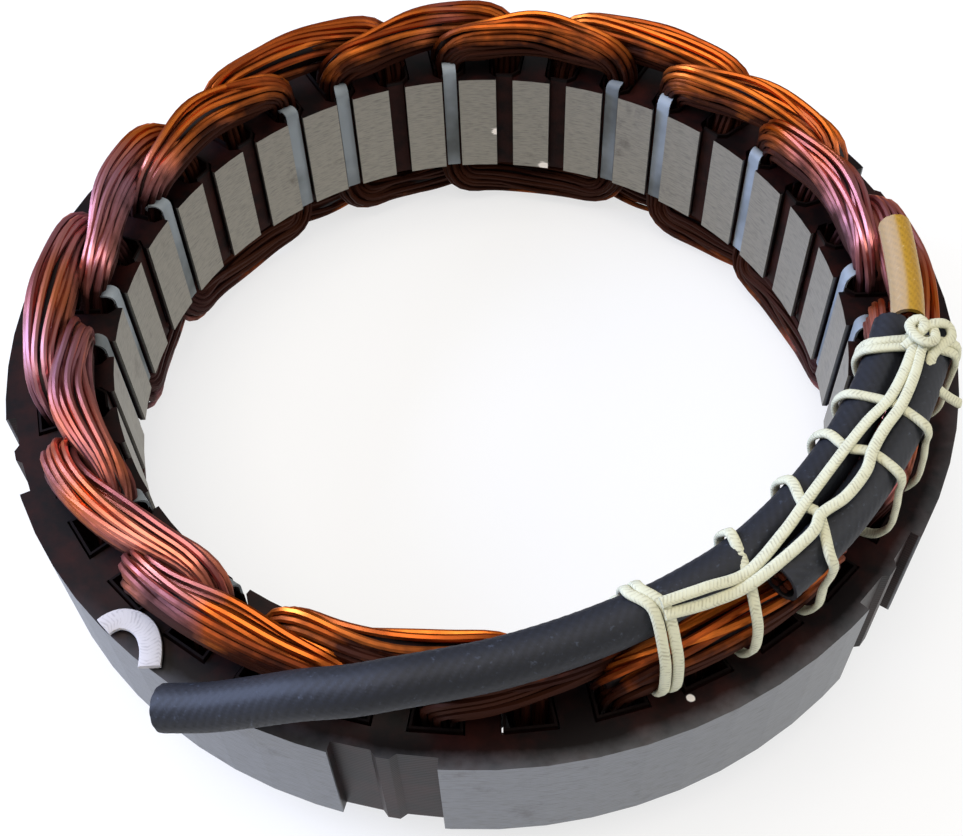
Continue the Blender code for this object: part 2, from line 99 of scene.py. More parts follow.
def add(tree: NodeTree, kind: str, sockets: dict[Any, Any], **settings: Any) -> Node:
    """Adds a node with its settings and links.

    Args:
        tree: the material's node tree.
        kind: the node's type, without the "ShaderNode" that each one begins with.
        sockets: its inputs, as feed takes them.
        settings: its attributes, and stops for the two (place, colour) pairs of a colour ramp.

    Returns:
        The new node.
    """
    node = tree.nodes.new("ShaderNode" + kind)
    for name, value in settings.items():
        if name == "stops":
            for element, (place, colour) in zip(node.color_ramp.elements, value):
                element.position = place
                element.color = linear(colour)
        else:
            setattr(node, name, value)
    feed(tree, node, sockets)
    return node


def new_material(name: str) -> tuple[Material, NodeTree, Node]:
    """A material with an empty Principled BSDF.

    Args:
        name: what the real material is.

    Returns:
        The material, its tree and its shader.
    """
    material = bpy.data.materials.new(name)
    material.use_nodes = True
    return material, material.node_tree, material.node_tree.nodes["Principled BSDF"]


@dataclass(frozen=True)
class Ring:
    """Main sizes of the core and its winding, read from the frame where it holds them."""

    slots: int = 36
    first_tooth_angle: float = 1.3
    bore_radius: float = 49.8 * MM
    head_inner: float = 51.3 * MM
    head_outer: float = 59.4 * MM
    leg_inner: float = 51.8 * MM
    leg_outer: float = 59.2 * MM
    layer_gap: float = 0.3 * MM
    low: float = float(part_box("stator_core")[0].z)
    top: float = float(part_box("stator_core")[1].z)
    radius: float = float(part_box("stator_core")[1].x)
    head_top: float = float(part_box("phase_a_coil_1")[1].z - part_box("stator_core")[1].z)

    @property
    def pitch(self) -> float:
        """Angle from one tooth to the next."""
        return 2 * math.pi / self.slots

    @property
    def layer_width(self) -> float:
        """Width of the inner or the outer layer of heads."""
        return (self.head_outer - self.head_inner - self.layer_gap) / 2

    def turn(self, tooth: Array | float) -> Array | float:
        """Turn, clockwise from +Y, of a place counted in teeth."""
        return math.radians(self.first_tooth_angle) + self.pitch * tooth

    def at(self, tooth: float, radius: float, height: float) -> Array:
        """Point at a place round the ring, a radius and a height above the core's top face."""
        turn = self.turn(tooth)
        return np.array((math.sin(turn) * radius, math.cos(turn) * radius, self.top + height))


RING = Ring()


def smooth_step(value: Array | float) -> Array | float:
    """Goes smoothly from 0 to 1 as value does."""
    share = np.clip(value, 0.0, 1.0)
    return share * share * (3 - 2 * share)


def curve_through(points: Array | list[Array], spacing: float, closed: bool = False) -> Array:
    """Points at an even spacing along a smooth curve through the given ones.

    Args:
        points: rows of coordinates.
        spacing: distance between the new points.
        closed: whether the curve runs back to its start.

    Returns:
        Rows of coordinates.
    """
    points = np.asarray(points, float)
    steps_between = 24
    if closed:
        ends = np.vstack((points[-1:], points, points[:2]))
    else:
        ends = np.vstack((2 * points[0] - points[1], points, 2 * points[-1] - points[-2]))
    fine = []
    for a, b, c, d in zip(ends, ends[1:], ends[2:], ends[3:]):
        for t in np.arange(steps_between) / steps_between:
            line = (c - a) * t / 2
            bow = (2 * a - 5 * b + 4 * c - d) * t**2 / 2
            twist = (3 * b - a - 3 * c + d) * t**3 / 2
            fine.append(b + line + bow + twist)
    fine.append(ends[-2])
    fine = np.array(fine)
    lengths = run_lengths(fine)
    count = max(2, round(lengths[-1] / spacing))
    goals = np.linspace(0, lengths[-1], count + 1)
    line = np.stack([np.interp(goals, lengths, fine[:, i]) for i in range(fine.shape[1])], axis=1)
    return line[:-1] if closed else line


def run_lengths(line: Array) -> Array:
    """Distance from the start along a line, for each of its points."""
    return np.concatenate(([0.0], np.cumsum(np.linalg.norm(np.diff(line, axis=0), axis=1))))


def tangents(line: Array, closed: bool) -> Array:
    """Unit vectors along a line of points.

    Args:
        line: the points.
        closed: whether the line runs back to its start.

    Returns:
        A row for each point.
    """
    if closed:
        ahead = np.roll(line, -1, axis=0) - np.roll(line, 1, axis=0)
    else:
        ahead = np.gradient(line, axis=0)
    return ahead / np.linalg.norm(ahead, axis=1, keepdims=True)


def frames(line: Array, facing: Array, closed: bool = False) -> tuple[Array, Array]:
    """Two unit vectors across a line at each point, the first one as near as can be to facing.

    Args:
        line: the points.
        facing: the way that the first vector looks, one row for each point.
        closed: whether the line runs back to its start.

    Returns:
        The two rows of vectors.
    """
    ahead = tangents(line, closed)
    up = facing - np.sum(facing * ahead, axis=1, keepdims=True) * ahead
    up = up / np.linalg.norm(up, axis=1, keepdims=True)
    return up, np.cross(ahead, up)


def steady_frames(line: Array) -> tuple[Array, Array]:
    """Two unit vectors across an open line at each point, which turn with it and don't spin.

    Args:
        line: the points.

    Returns:
        The two rows of vectors.
    """
    ahead = tangents(line, False)
    up = np.zeros_like(line)
    start = np.array((0.0, 0.0, 1.0))
    up[0] = start - start.dot(ahead[0]) * ahead[0]
    up[0] /= np.linalg.norm(up[0])
    for i in range(1, len(line)):
        carried = up[i - 1] - up[i - 1].dot(ahead[i]) * ahead[i]
        up[i] = carried / np.linalg.norm(carried)
    return up, np.cross(ahead, up)


def round_grid(line: Array, up: Array, side: Array, radius: Array | float, sides: int) -> Array:
    """Rings round a line.

    Args:
        line: the points.
        up: first unit vector across the line.
        side: second one.
        radius: one for all, or a value for each ring and side.
        sides: points on a ring.

    Returns:
        Rings, points of each, coordinates.
    """
    angles = 2 * math.pi * np.arange(sides) / sides
    spokes = up[:, None] * np.cos(angles)[None, :, None] + side[:, None] * np.sin(angles)[None, :, None]
    reach = np.broadcast_to(radius, (len(line), sides))
    return line[:, None] + spokes * reach[..., None]


def rounded_square(sides: int, power: float) -> tuple[Array, Array]:
    """Points round a square from -1 to 1 with rounded corners.

    Args:
        sides: how many points.
        power: 1 for a circle, and less for sharper corners.

    Returns:
        The two coordinates.
    """
    angles = math.tau * np.arange(sides) / sides
    first, second = np.cos(angles), np.sin(angles)
    return np.sign(first) * np.abs(first) ** power, np.sign(second) * np.abs(second) ** power


def flat_grid(
    line: Array, facing: Array, closed: bool, size: tuple[float, float], corners: tuple[int, float]
) -> Array:
    """Rings of a flat cord with rounded edges round a line.

    Args:
        line: the points.
        facing: the way that the flat side looks, one row for each point.
        closed: whether the line runs back to its start.
        size: the cord's width and thickness.
        corners: points on a ring and their power, as rounded_square takes them.

    Returns:
        Rings, points of each, coordinates.
    """
    up, side = frames(line, facing, closed)
    first, second = rounded_square(*corners)
    wide, thick = first * size[0] / 2, second * size[1] / 2
    return line[:, None] + side[:, None] * wide[None, :, None] + up[:, None] * thick[None, :, None]


class MeshPile:
    """Grids of points that become one mesh object, with values kept on their points."""

    def __init__(self) -> None:
        """Starts with nothing in the pile."""
        self.points: list[Array] = []
        self.faces: list[tuple[int, ...]] = []
        self.slots: list[int] = []
        self.uvs: list[tuple[float, float]] = []
        self.values: dict[str, list[Array]] = {}
        self.count = 0

    def grid(self, points: Array, closed: bool, slot: int = 0, **values: Array) -> None:
        """Adds a skin over a grid of rings, each of which closes on itself.

        Args:
            points: rings, points of each, coordinates.
            closed: whether the last ring joins the first. An open run gets end caps.
            slot: the material's number.
            values: a number for each point of the grid, by attribute name.
        """
        rings, sides = points.shape[:2]
        base = self.count
        self.points.append(points.reshape(-1, 3))
        self.count += rings * sides
        for name, value in values.items():
            self.values.setdefault(name, []).append(np.broadcast_to(value, (rings, sides)).reshape(-1))
        steps = rings if closed else rings - 1
        for i in range(steps):
            near, far = base + i * sides, base + (i + 1) % rings * sides
            for j in range(sides):
                k = (j + 1) % sides
                self.faces.append((near + j, near + k, far + k, far + j))
                self.uvs += [(j, i), (j + 1, i), (j + 1, i + 1), (j, i + 1)]
        self.slots += [slot] * steps * sides
        if not closed:
            self.faces.append(tuple(range(base + sides - 1, base - 1, -1)))
            self.faces.append(tuple(range(base + (rings - 1) * sides, base + rings * sides)))
            self.uvs += [(0.0, 0.0)] * (2 * sides)
            self.slots += [slot] * 2

    def shell(self, points: Array, faces: list[tuple[int, ...]], slot: int) -> None:
        """Adds faces over points of their own.

        Args:
            points: rows of coordinates.
            faces: numbers of points, counted from the first of these.
            slot: the material's number.
        """
        base = self.count
        self.points.append(points)
        self.count += len(points)
        self.faces += [tuple(base + number for number in face) for face in faces]
        self.uvs += [(0.0, 0.0)] * sum(len(face) for face in faces)
        self.slots += [slot] * len(faces)

    def build(self, name: str, materials: list[Material], uv_size: tuple[float, float] = (1, 1)) -> Object:
        """Makes the object.

        Args:
            name: its name.
            materials: one for each material number.
            uv_size: what one step round and one step along count for in the UV map.

        Returns:
            The new object.
        """
        mesh = bpy.data.meshes.new(name)
        mesh.from_pydata(np.vstack(self.points).tolist(), [], self.faces)
        for key, parts in self.values.items():
            attribute = mesh.attributes.new(key, "FLOAT", "POINT")
            attribute.data.foreach_set("value", np.concatenate(parts).astype(np.float32))
        layer = mesh.uv_layers.new(name="UVMap")
        corners = np.array(self.uvs) * np.array(uv_size)
        layer.data.foreach_set("uv", corners.reshape(-1).astype(np.float32))
        for material in materials:
            mesh.materials.append(material)
        mesh.polygons.foreach_set("material_index", self.slots)
        mesh.shade_smooth()
        mesh.set_sharp_from_angle(angle=SHARP_ANGLE)
        mesh.validate()
        mesh.update()
        piece = bpy.data.objects.new(name, mesh)
        bpy.context.scene.collection.objects.link(piece)
        return piece


def seat(piece: Object, node: str) -> Object:
    """Lets a piece stand for its CAD node, fixes it to the stator and reports it.

    Args:
        piece: the new object.
        node: the CAD node that it replaces.

    Returns:
        The same object.
    """
    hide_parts(node)
    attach(piece, BODY)
    LOG.info("%s: %d faces", piece.name, len(piece.data.polygons))
    return piece


def dress(name: str, material: Material) -> Object:
    """Gives a CAD node its finish and reports it.

    Args:
        name: the node's name.
        material: the finish.

    Returns:
        The node's object.
    """
    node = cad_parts[name]
    node.data.materials.clear()
    node.data.materials.append(material)
    LOG.info("%s: dressed", name)
    return node


@dataclass(frozen=True)
class EnamelledCopper:
    """Enamelled copper winding wire, dipped in varnish.

    The eye sees orange metal with thin bright highlights, turning dark red-brown where the varnish stayed
    and where painted shade stands for shadow low down, deep in the bundle and on shaded sides. A faint
    painted pink sheen on the turns that face left and right stands for a cool light's reflection.
    """

    bright: str = "C96A28"
    plain: str = "8E3F1A"
    # Dark red-brown of the varnish, also used as painted shade.
    shade_and_varnish_dark: str = "1E0907"
    # Painted pink sheen, standing for a cool light's reflection.
    bloom: str = "B892A8"
    edge: str = "E0A888"
    shine: float = 0.2
    # Clean wire, then soaked wire.
    roughness: tuple[float, float] = (0.32, 0.58)
    metallic: tuple[float, float] = (0.95, 0.10)
    stain_size: float = 5 * MM
    painted_sheen_size: float = 25 * MM
    painted_sheen_share: float = 0.34
    # Where the painted pink sheen and the dark start, where they are full, and how strong they get.
    painted_sheen_range: tuple[float, float, float] = (0.62, 0.9, 0.6)
    dark_range: tuple[float, float, float] = (0.56, 1.05, 0.97)

    def build(self) -> Material:
        """Makes the material.

        One attribute gives each turn its tone, one how dark the varnish and the painted shade make a point,
        and one where the painted pink sheen goes.

        Returns:
            The material.
        """
        material, tree, shader = new_material("enamelled_copper_wire")
        place = add(tree, "TexCoord", {}).outputs["Object"]
        tone = add(tree, "Attribute", {}, attribute_name="tone").outputs["Fac"]
        soak = add(tree, "Attribute", {}, attribute_name="soak").outputs["Fac"]
        bloom = add(tree, "Attribute", {}, attribute_name="bloom").outputs["Fac"]
        stain = add(tree, "TexNoise", {"Vector": place, "Scale": 1 / self.stain_size, "Detail": 3.0})
        patch = add(tree, "TexNoise", {"Vector": place, "Scale": 1 / self.painted_sheen_size, "Detail": 2.0})
        # Painted pink sheen on the turns that face left and right.
        sheen_amount = add(tree, "Math", {0: bloom, 1: self.painted_sheen_share, 2: patch}, operation="MULTIPLY_ADD")
        metal = add(tree, "Mix", {"Factor": tone, 6: self.plain, 7: self.bright}, data_type="RGBA")
        low, high, most = self.painted_sheen_range
        pink = add(tree, "MapRange", {"Value": sheen_amount, "From Min": low, "From Max": high, "To Max": most})
        sheened = add(tree, "Mix", {"Factor": pink, 6: metal, 7: self.bloom}, data_type="RGBA")
        # Darkness from the varnish and from painted shade.
        depth = add(tree, "Math", {0: soak, 1: stain}, operation="ADD")
        low, high, most = self.dark_range
        dark = add(tree, "MapRange", {"Value": depth, "From Min": low, "From Max": high, "To Max": most})
        colour = add(tree, "Mix", {"Factor": dark, 6: sheened, 7: self.shade_and_varnish_dark}, data_type="RGBA")
        clean, dull = self.metallic
        bare = add(tree, "MapRange", {"Value": dark, "To Min": clean, "To Max": dull})
        clean, dull = self.roughness
        rough = add(tree, "MapRange", {"Value": dark, "To Min": clean, "To Max": dull})
        feed(tree, shader, {"Base Color": colour, "Metallic": bare, "Roughness": rough})
        feed(tree, shader, {"Specular IOR Level": self.shine, "Specular Tint": self.edge})
        return material


@dataclass(frozen=True)
class BakedVarnish:
    """Baked impregnating varnish in the heart of a bundle.

    The eye sees near-black brown between the turns.
    """

    colour: str = "0B0403"
    lighter: str = "220A07"
    grain: float = 1.5 * MM
    roughness: float = 0.55
    shine: float = 0.25

    def build(self) -> Material:
        """Makes the material.

        Returns:
            The material.
        """
        material, tree, shader = new_material("baked_varnish")
        place = add(tree, "TexCoord", {}).outputs["Object"]
        grain = add(tree, "TexNoise", {"Vector": place, "Scale": 1 / self.grain})
        colour = add(tree, "ValToRGB", {"Fac": grain}, stops=((0.35, self.colour), (0.75, self.lighter)))
        feed(tree, shader, {"Base Color": colour, "Roughness": self.roughness})
        feed(tree, shader, {"Specular IOR Level": self.shine})
        return material


@dataclass(frozen=True)
class LaminatedSteel:
    """Stack of punched electrical steel sheets, ground on the rim and the pole faces, and varnished.

    The eye sees dull pale metal with fine level lines, and dark red-brown on the end faces and in the weld
    recesses, where the varnish stayed. On the side of the leads, towards -Y, the end face turns pale in
    patches at the rim, like bare steel.
    """

    pole: str = "8E8A80"
    rim: str = "7C7E81"
    stain: str = "5A5756"
    varnish: str = "0A0404"
    varnish_light: str = "2C0E09"
    fleck: str = "F2EAE0"
    sheet: float = 0.5 * MM
    blotch: float = 7 * MM
    relief: float = 0.025 * MM
    shine: float = 0.15
    metallic: float = 0.75
    # Varnish, then bare steel.
    roughness: tuple[float, float] = (0.42, 0.46)
    # Depths between which the ground finish fades in under the rim, and fades out behind the pole face.
    rim_depth: tuple[float, float] = (0.35 * MM, 0.15 * MM)
    pole_depth: tuple[float, float] = (0.2 * MM, 0.5 * MM)
    pale_edge_width: float = 2.2 * MM
    edge_drift: float = 2.5 * MM
    pale_edge_share: float = 0.4
    pale_edge_way: tuple[float, float, float] = (0.25, -0.97, 0.0)
    pale_edge_from: tuple[float, float] = (25 * MM, 52 * MM)
    # Place in teeth, radius, height above the end face and half the width, in millimetres.
    flecks: Route = ((0.33, 49.8, -10.9, 0.75), (1.27, 49.8, -18.0, 1.0), (15.77, 60.7, 0.0, 0.4))

    def bare(self, tree: NodeTree, place: NodeSocket, blotch: Node) -> tuple[Node, Node]:
        """Adds the nodes that tell bare steel from varnish, by where the surface lies and faces.

        Args:
            tree: the material's node tree.
            place: the object coordinates.
            blotch: the noise that makes the edges of the varnish uneven.

        Returns:
            The share of bare steel, and the share that is a pole face.
        """
        parts = add(tree, "SeparateXYZ", {0: place})
        level = add(tree, "CombineXYZ", {0: parts.outputs[0], 1: parts.outputs[1]})
        radius = add(tree, "VectorMath", {0: level}, operation="LENGTH")
        normal = add(tree, "SeparateXYZ", {0: add(tree, "NewGeometry", {}).outputs["Normal"]})
        steep = add(tree, "Math", {0: normal.outputs[2]}, operation="ABSOLUTE")
        falling = {"To Min": 1.0, "To Max": 0.0}
        side = add(tree, "MapRange", {"Value": steep, "From Min": 0.45, "From Max": 0.75, **falling})
        low, high = [RING.radius - depth for depth in self.rim_depth]
        on_rim = add(tree, "MapRange", {"Value": radius, "From Min": low, "From Max": high})
        low, high = [RING.bore_radius + depth for depth in self.pole_depth]
        on_pole = add(tree, "MapRange", {"Value": radius, "From Min": low, "From Max": high, **falling})
        ground = add(tree, "Math", {0: on_rim, 1: on_pole}, operation="MAXIMUM")
        upright = add(tree, "Math", {0: ground, 1: side}, operation="MULTIPLY")
        uneven = {"From Min": 0.60, "From Max": 0.72, "To Min": 1.0, "To Max": 0.55}
        spread = add(tree, "MapRange", {"Value": blotch, **uneven})
        kept = add(tree, "Math", {0: upright, 1: spread}, operation="MULTIPLY")
        # Towards -Y the end face turns pale in patches near the rim.
        reach = add(tree, "Math", {0: blotch, 1: self.edge_drift, 2: radius}, operation="MULTIPLY_ADD")
        low = RING.radius - self.pale_edge_width + self.edge_drift / 2
        edge = {"From Min": low, "From Max": RING.radius + self.edge_drift / 2, "To Max": self.pale_edge_share}
        pale_edge = add(tree, "MapRange", {"Value": reach, **edge})
        ahead = add(tree, "VectorMath", {0: place, 1: self.pale_edge_way}, operation="DOT_PRODUCT")
        low, high = self.pale_edge_from
        near = add(tree, "MapRange", {"Value": ahead, "From Min": low, "From Max": high})
        on_face = add(tree, "Math", {0: near, 1: side}, operation="SUBTRACT")
        worn = add(tree, "Math", {0: pale_edge, 1: on_face}, operation="MULTIPLY", use_clamp=True)
        return add(tree, "Math", {0: kept, 1: worn}, operation="MAXIMUM"), on_pole

    def flecked(self, tree: NodeTree, place: NodeSocket, colour: Node, streak: Node) -> Node:
        """Adds the pale flecks, with ragged outlines.

        Args:
            tree: the material's node tree.
            place: the object coordinates.
            colour: the colour without the flecks.
            streak: the noise that makes their outlines ragged.

        Returns:
            The colour with the flecks.
        """
        for tooth, radius, height, size in self.flecks:
            spot = Vector(RING.at(tooth, radius * MM, height * MM))
            away = add(tree, "VectorMath", {0: place, 1: spot}, operation="DISTANCE")
            ragged = add(tree, "Math", {0: streak, 1: 2 * size * MM, 2: away}, operation="MULTIPLY_ADD")
            edge = {"From Min": 1.75 * size * MM, "From Max": 2.05 * size * MM}
            near = add(tree, "MapRange", {"Value": ragged, **edge, "To Min": 1.0, "To Max": 0.0})
            colour = add(tree, "Mix", {"Factor": near, 6: colour, 7: self.fleck}, data_type="RGBA")
        return colour

    def build(self) -> Material:
        """Makes the material.

        Returns:
            The material.
        """
        material, tree, shader = new_material("laminated_electrical_steel")
        place = add(tree, "TexCoord", {}).outputs["Object"]
        uneven = {"Scale": 1 / self.blotch, "Detail": 6.0, "Roughness": 0.65}
        blotch = add(tree, "TexNoise", {"Vector": place, **uneven})
        kept, on_pole = self.bare(tree, place, blotch)
        steel = add(tree, "Mix", {"Factor": on_pole, 6: self.rim, 7: self.pole}, data_type="RGBA")
        # A streak is about three sheets' thickness long and a ninth of that high.
        flat = add(tree, "Mapping", {"Vector": place, "Scale": (1.0, 1.0, 9.0)})
        streak = add(tree, "TexNoise", {"Vector": flat, "Scale": 0.35 / self.sheet, "Detail": 4.0})
        worn = add(tree, "MapRange", {"Value": streak, "From Min": 0.45, "From Max": 0.8, "To Max": 0.7})
        metal = add(tree, "Mix", {"Factor": worn, 6: steel, 7: self.stain}, data_type="RGBA")
        stops = ((0.42, self.varnish), (0.72, self.varnish_light))
        lacquer = add(tree, "ValToRGB", {"Fac": blotch}, stops=stops)
        colour = add(tree, "Mix", {"Factor": kept, 6: lacquer, 7: metal}, data_type="RGBA")
        colour = self.flecked(tree, place, colour, streak)
        metallic = add(tree, "Math", {0: kept, 1: self.metallic}, operation="MULTIPLY")
        glossy, dull = self.roughness
        rough = add(tree, "MapRange", {"Value": kept, "To Min": glossy, "To Max": dull})
        # At a scale of 1 the wave texture's bands are tau / 20 apart.
        wave = {"Vector": place, "Scale": math.tau / 20 / self.sheet, "Distortion": 0.4}
        lines = add(tree, "TexWave", wave, bands_direction="Z").outputs["Fac"]
        pits = add(tree, "Math", {0: lines, 1: streak}, operation="ADD")
        bump = add(tree, "Bump", {"Height": pits, "Strength": 0.3, "Distance": self.relief})
        feed(tree, shader, {"Base Color": colour, "Metallic": metallic, "Roughness": rough, "Normal": bump})
        feed(tree, shader, {"Specular IOR Level": self.shine})
        return material


@dataclass(frozen=True)
class InsulatingSheet:
    """Laminated film and paper slot insulation, cut and folded.

    The eye sees a dull sheet with soft stains. Where darkening is set, the sheet is painted nearly black
    above the core's end face, for its varnish and for the shade at the slot ends.
    """

    name: str
    colour: str
    stain: str
    roughness: float
    shine: float
    blotch: float = 3 * MM
    shade_and_varnish_dark: float = 0.0
    varnish: str = "080302"
    shade_and_varnish_height: float = 0.3 * MM
    relief: float = 0.05 * MM

    def build(self) -> Material:
        """Makes the material.

        Returns:
            The material.
        """
        material, tree, shader = new_material(self.name)
        place = add(tree, "TexCoord", {}).outputs["Object"]
        stains = add(tree, "TexNoise", {"Vector": place, "Scale": 1 / self.blotch, "Detail": 4.0})
        colour = add(tree, "ValToRGB", {"Fac": stains}, stops=((0.42, self.colour), (0.70, self.stain)))
        height = add(tree, "SeparateXYZ", {0: place}).outputs[2]
        # Painted darkness above the end face: varnish, and painted shade at the slot ends.
        above = {"From Min": RING.top - self.shade_and_varnish_height, "From Max": RING.top, "To Max": self.shade_and_varnish_dark}
        shade_and_varnish_dark = add(tree, "MapRange", {"Value": height, **above})
        dark = add(tree, "Mix", {"Factor": shade_and_varnish_dark, 6: colour, 7: self.varnish}, data_type="RGBA")
        # The fibres' grain is a twelfth of a stain across.
        fibres = add(tree, "TexNoise", {"Vector": place, "Scale": 12 / self.blotch, "Detail": 2.0})
        bump = add(tree, "Bump", {"Height": fibres, "Strength": 0.3, "Distance": self.relief})
        feed(tree, shader, {"Base Color": dark, "Normal": bump})
        feed(tree, shader, {"Roughness": self.roughness, "Specular IOR Level": self.shine})
        return material


@dataclass(frozen=True)
class GlassSleeving:
    """Braided glass-fibre sleeving, dyed and varnished.

    The eye sees a fine diagonal plait whose raised yarns carry pale specks, and whose hollows are painted
    dark for the shade between the yarns. Where it is set, a painted highlight lightens the side that looks
    to the bore.
    """

    name: str
    hollow: str
    yarn: str
    pale_speck: str
    roughness: float
    # Colour of the painted highlight.
    faded: str = "A89A8C"
    pale_speck_size: float = 0.9 * MM
    relief: float = 0.08 * MM

    def build(self) -> Material:
        """Makes the material.

        The attribute rise is how far a point stands out of the plait, and the other one how much painted
        highlight the point takes.

        Returns:
            The material.
        """
        material, tree, shader = new_material(self.name)
        place = add(tree, "TexCoord", {}).outputs["Object"]
        rise = add(tree, "Attribute", {}, attribute_name="rise").outputs["Fac"]
        faded = add(tree, "Attribute", {}, attribute_name="faded").outputs["Fac"]
        # Hollows painted darker than the raised yarns: painted shade between the yarns.
        yarn = add(tree, "Mix", {"Factor": rise, 6: self.hollow, 7: self.yarn}, data_type="RGBA")
        grains = {"Scale": 1 / self.pale_speck_size, "Detail": 5.0, "Roughness": 0.7}
        pale_speck = add(tree, "TexNoise", {"Vector": place, **grains})
        speck = add(tree, "MapRange", {"Value": pale_speck, "From Min": 0.60, "From Max": 0.78, "To Max": 0.8})
        lying = add(tree, "Math", {0: speck, 1: rise}, operation="MULTIPLY")
        specked = add(tree, "Mix", {"Factor": lying, 6: yarn, 7: self.pale_speck}, data_type="RGBA")
        # Painted highlight on the side that looks to the bore.
        colour = add(tree, "Mix", {"Factor": faded, 6: specked, 7: self.faded}, data_type="RGBA")
        bump = add(tree, "Bump", {"Height": pale_speck, "Strength": 0.25, "Distance": self.relief})
        feed(tree, shader, {"Base Color": colour, "Normal": bump, "Roughness": self.roughness})
        return material


@dataclass(frozen=True)
class BraidedCord:
    """Flat braided polyester lacing cord.

    The eye sees a soft cream tape with a chevron plait.
    """

    name: str = "braided_lacing_cord"
    colour: str = "C6C4A6"
    shade: str = "A5A187"
    plait: float = 0.45 * MM
    relief: float = 0.06 * MM
    roughness: float = 0.75

    def build(self) -> Material:
        """Makes the material. The UV map counts plait widths across and along the cord.

        Returns:
            The material.
        """
        material, tree, shader = new_material(self.name)
        place = add(tree, "TexCoord", {})
        fold = add(tree, "SeparateXYZ", {0: place.outputs["UV"]})
        across = add(tree, "Math", {0: fold.outputs[0], 1: 1.0}, operation="PINGPONG")
        slant = add(tree, "Math", {0: across, 1: fold.outputs[1]}, operation="ADD")
        yarn = add(tree, "Math", {0: slant, 1: 0.5}, operation="PINGPONG")
        dirt = add(tree, "TexNoise", {"Vector": place.outputs["Object"], "Scale": 0.5 / self.plait})
        height = add(tree, "Math", {0: yarn, 1: dirt}, operation="ADD")
        colour = add(tree, "ValToRGB", {"Fac": height}, stops=((0.38, self.shade), (0.72, self.colour)))
        bump = add(tree, "Bump", {"Height": yarn, "Strength": 0.5, "Distance": self.relief})
        feed(tree, shader, {"Base Color": colour, "Normal": bump, "Roughness": self.roughness})
        return material


class Phase(Enum):
    """The three phases of the winding, each with the first slot of its first coil."""

    A = -0.5
    B = 1.5
    C = 3.5

    @property
    def layers(self) -> tuple[int, int]:
        """The layers that a head starts and ends in: 0 is the inner one, and 1 the outer one."""
        return {Phase.A: (0, 0), Phase.B: (1, 1), Phase.C: (0, 1)}[self]

    @property
    def spread(self) -> tuple[float, float]:
        """How much of a head's fanning goes inward, and how much outward."""
        return {Phase.A: (0.1, 1.0), Phase.B: (0.6, 0.3), Phase.C: (0.35, 0.45)}[self]


class Column(IntEnum):
    """What a station of a coil's head says, in order."""

    TOOTH = 0
    HEIGHT = 1
    LEAN = 2
    INNER = 3
    OUTER = 4
    DEPTH = 5


